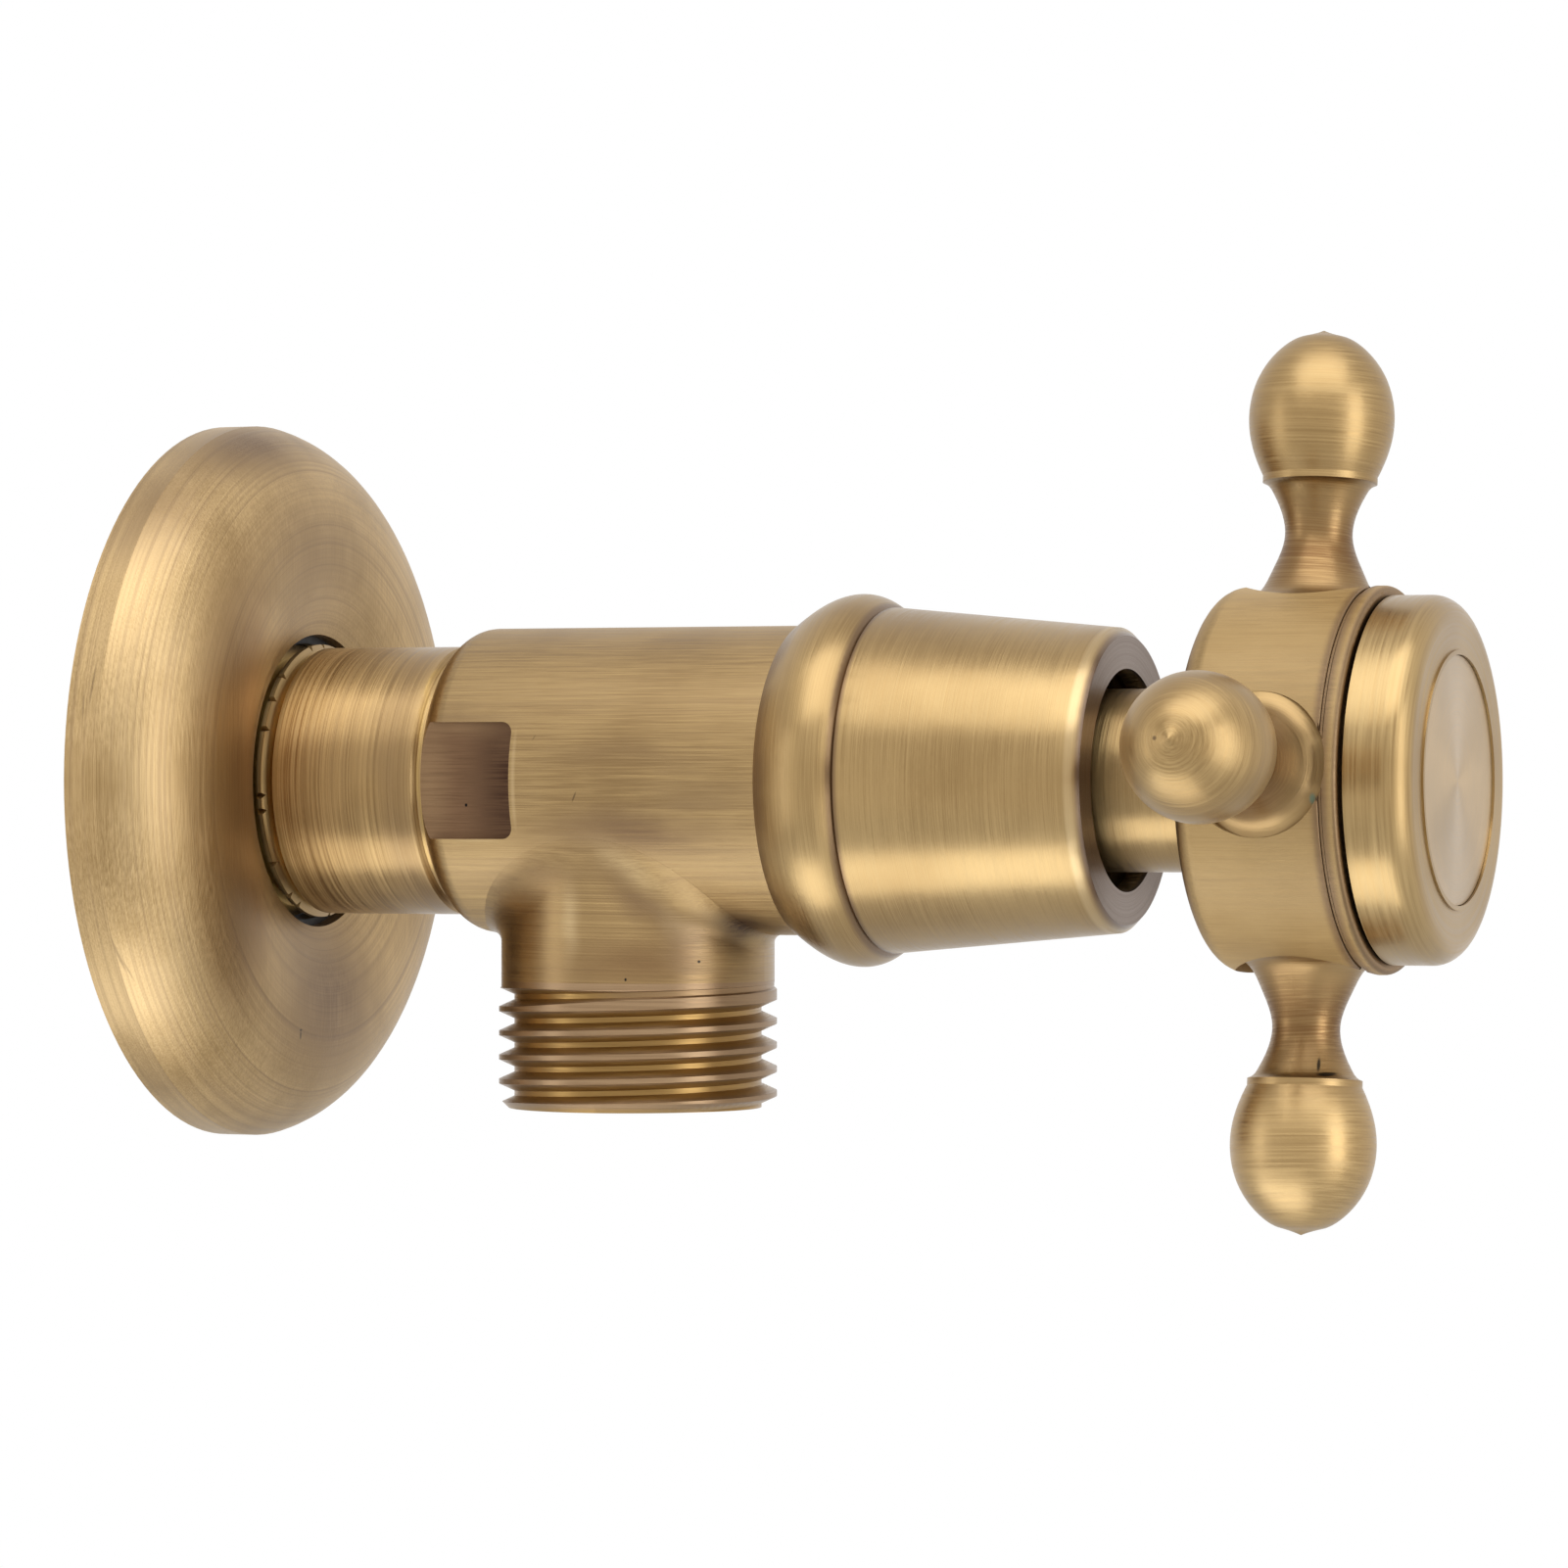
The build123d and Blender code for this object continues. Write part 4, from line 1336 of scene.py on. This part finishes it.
@dataclass
class Finishes:
    """Every finish of the valve, built once."""

    waist_radius: float = 17.3
    waist_reach: float = 6.2
    made: dict[str, bpy.types.Material] = field(default_factory=dict)

    def body_brass(self) -> list[BrushedBrass]:
        """The brushed finishes of the body and the flange.

        Returns:
            The finishes, unbuilt.
        """
        outlet = Axis((0.0, 0.0, 1.0), (ValveBody.outlet_x, 0.0, 0.0))
        return [
            BrushedBrass("body_brass_axial", Lay.ALONG, dark=CAST_DARK, patina_share=0.42,
                         stroke_width=0.12, stroke_length=7.0, roughness=0.42, anisotropy=0.75,
                         bump=0.02, marks=BODY_WEAR_AND_SHADING),
            BrushedBrass("boss_brass_turned", Lay.TURNED, outlet, dark=CAST_DARK, patina_share=0.42,
                         stroke_width=0.12, stroke_length=7.0, radial_lines=0.1,
                         meets_radius=11.56, roughness=0.42, bump=0.02, marks=BODY_WEAR_AND_SHADING),
            BrushedBrass("flat_brass_milled", Lay.ALONG, light=(0.195, 0.108, 0.056),
                         dark=(0.125, 0.067, 0.034), stroke_width=0.12, stroke_length=5.0,
                         roughness=0.45, coat=0.1, marks=FLAT_SHADING_AND_SPECK),
            BrushedBrass("shank_brass_turned", Lay.TURNED, light=(0.53, 0.350, 0.148),
                         dark=(0.26, 0.158, 0.060), patina_share=0.38, stroke_width=0.15,
                         stroke_length=25.0, marks=SHANK_MARKS),
            BrushedBrass("inlet_brass_cut", Lay.TURNED, patina_share=0.45, stroke_width=0.12,
                         groove_radius=10.2),
            BrushedBrass("outlet_brass_cut", Lay.TURNED, outlet, light=(0.34, 0.220, 0.117),
                         dark=(0.24, 0.148, 0.074), patina_share=0.4, stroke_width=0.12,
                         groove_radius=10.3, groove=(0.34, 0.20, 0.060), roughness=0.42),
            BrushedBrass("flange_brass_spun", Lay.TURNED, light=(0.54, 0.370, 0.175),
                         patina_share=0.45, streak_share=0.7, stroke_width=0.11, stroke_length=14.0,
                         straight_share=0.6, roughness=0.47, anisotropy=0.15, bump=0.02,
                         marks=FLANGE_STAINS_AND_HIGHLIGHTS),
        ]

    def handle_brass(self) -> list[BrushedBrass]:
        """The brushed finishes of the cover, the handle and the inside.

        Returns:
            The finishes, unbuilt.
        """
        return [
            BrushedBrass("cover_brass_turned", Lay.TURNED, patina_share=0.04, stroke_width=0.07,
                         stroke_length=6.0, marks=COVER_LINE_AND_SHADING),
            BrushedBrass("hub_brass_axial", Lay.ALONG, patina_share=0.15, stroke_width=0.10,
                         stroke_length=5.0, roughness=0.5, anisotropy=0.85, marks=HUB_PATINA_AND_SHADE_RINGS),
            BrushedBrass("neck_brass_turned", Lay.TURNED, patina_share=0.10, stroke_width=0.08,
                         stroke_length=8.0),
            BrushedBrass("cap_brass_turned", Lay.TURNED, light=(0.430, 0.290, 0.124),
                         dark=(0.305, 0.192, 0.074), patina_share=0.10),
            BrushedBrass("disc_brass_spun", Lay.TURNED, light=(0.56, 0.400, 0.225),
                         dark=(0.38, 0.275, 0.160), patina_share=0.05, stroke_width=0.07,
                         stroke_length=40.0, anisotropy=0.85, coat=0.3),
            BrushedBrass("raw_brass_turned", Lay.TURNED, light=(0.55, 0.38, 0.15), patina_share=0.3),
        ]

    def arm_brass(self, name: str, axis: Axis) -> BrushedBrass:
        """The finish of one arm, with a darker waist.

        Args:
            name: the arm's node.
            axis: line that the arm is turned about.

        Returns:
            The finish, unbuilt.
        """
        waist = tuple(start + self.waist_radius * part for start, part in zip(axis.point, axis.direction))
        reach = tuple(self.waist_reach if abs(part) > 0.5 else ENDLESS for part in axis.direction)
        # The bottom arm takes its lighter tones here: painted light.
        light, dark = LIT_ARM_TONES.get(name, (BrushedBrass.light, BrushedBrass.dark))
        return BrushedBrass(f"{name}_brass", Lay.TURNED, axis, light=light, dark=dark,
                            patina_share=0.22, stroke_width=0.14, roughness=0.40, anisotropy=0.2,
                            marks=(Mark(waist, reach, 0.85, TAN), *ARM_MARKS.get(name, ())))

    def plain_stuff(self) -> list[PlainStuff]:
        """The seals, ceramics, plastics and steel.

        Returns:
            The finishes, unbuilt.
        """
        return [
            PlainStuff("rubber_black", (0.022, 0.022, 0.024), (0.014, 0.014, 0.015), 0.55),
            PlainStuff("ceramic_white", (0.80, 0.79, 0.76), (0.72, 0.71, 0.68), 0.18, bump=0.002),
            PlainStuff("fibre_red", (0.33, 0.09, 0.06), (0.22, 0.06, 0.04), 0.8, bump=0.03),
            PlainStuff("bearing_cream", (0.74, 0.70, 0.60), (0.66, 0.62, 0.52), 0.45),
            PlainStuff("steel_bright", (0.62, 0.61, 0.60), (0.48, 0.47, 0.46), 0.28,
                       metallic=1.0, bump=0.004),
        ]

    def build(self) -> None:
        """Make every material."""
        arms = [self.arm_brass(name, axis) for name, axis in arm_axes().items()]
        for finish in (*self.body_brass(), *self.handle_brass(), *arms, *self.plain_stuff()):
            self.made[finish.name] = finish.build()
        log.info("finishes: %d", len(self.made))


def arm_axes() -> dict[str, Axis]:
    """The axis of each arm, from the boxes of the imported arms.

    Returns:
        Axis by node name.
    """
    axes = {}
    for name in ("arm_top", "arm_near", "arm_bottom", "arm_far"):
        low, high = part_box(name)
        middle = (low + high) / 2
        outward = Vector((0.0, middle.y, middle.z)).normalized()
        axes[name] = Axis(tuple(outward), (middle.x / MM, 0.0, 0.0))
    return axes


def main() -> None:
    """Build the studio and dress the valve."""
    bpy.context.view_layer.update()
    Studio().build()
    finishes = Finishes()
    finishes.build()
    for node, finish in NODE_FINISHES.items():
        dress(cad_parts[node], finishes.made[finish])
    log.info("packed nodes dressed: %d", len(NODE_FINISHES))
    ValveBody().build(finishes)
    BonnetCover().build(finishes)
    HandleHub().build(finishes)
    FlangeGapShadeRing().build(finishes)


if __name__ == "__main__":
    main()
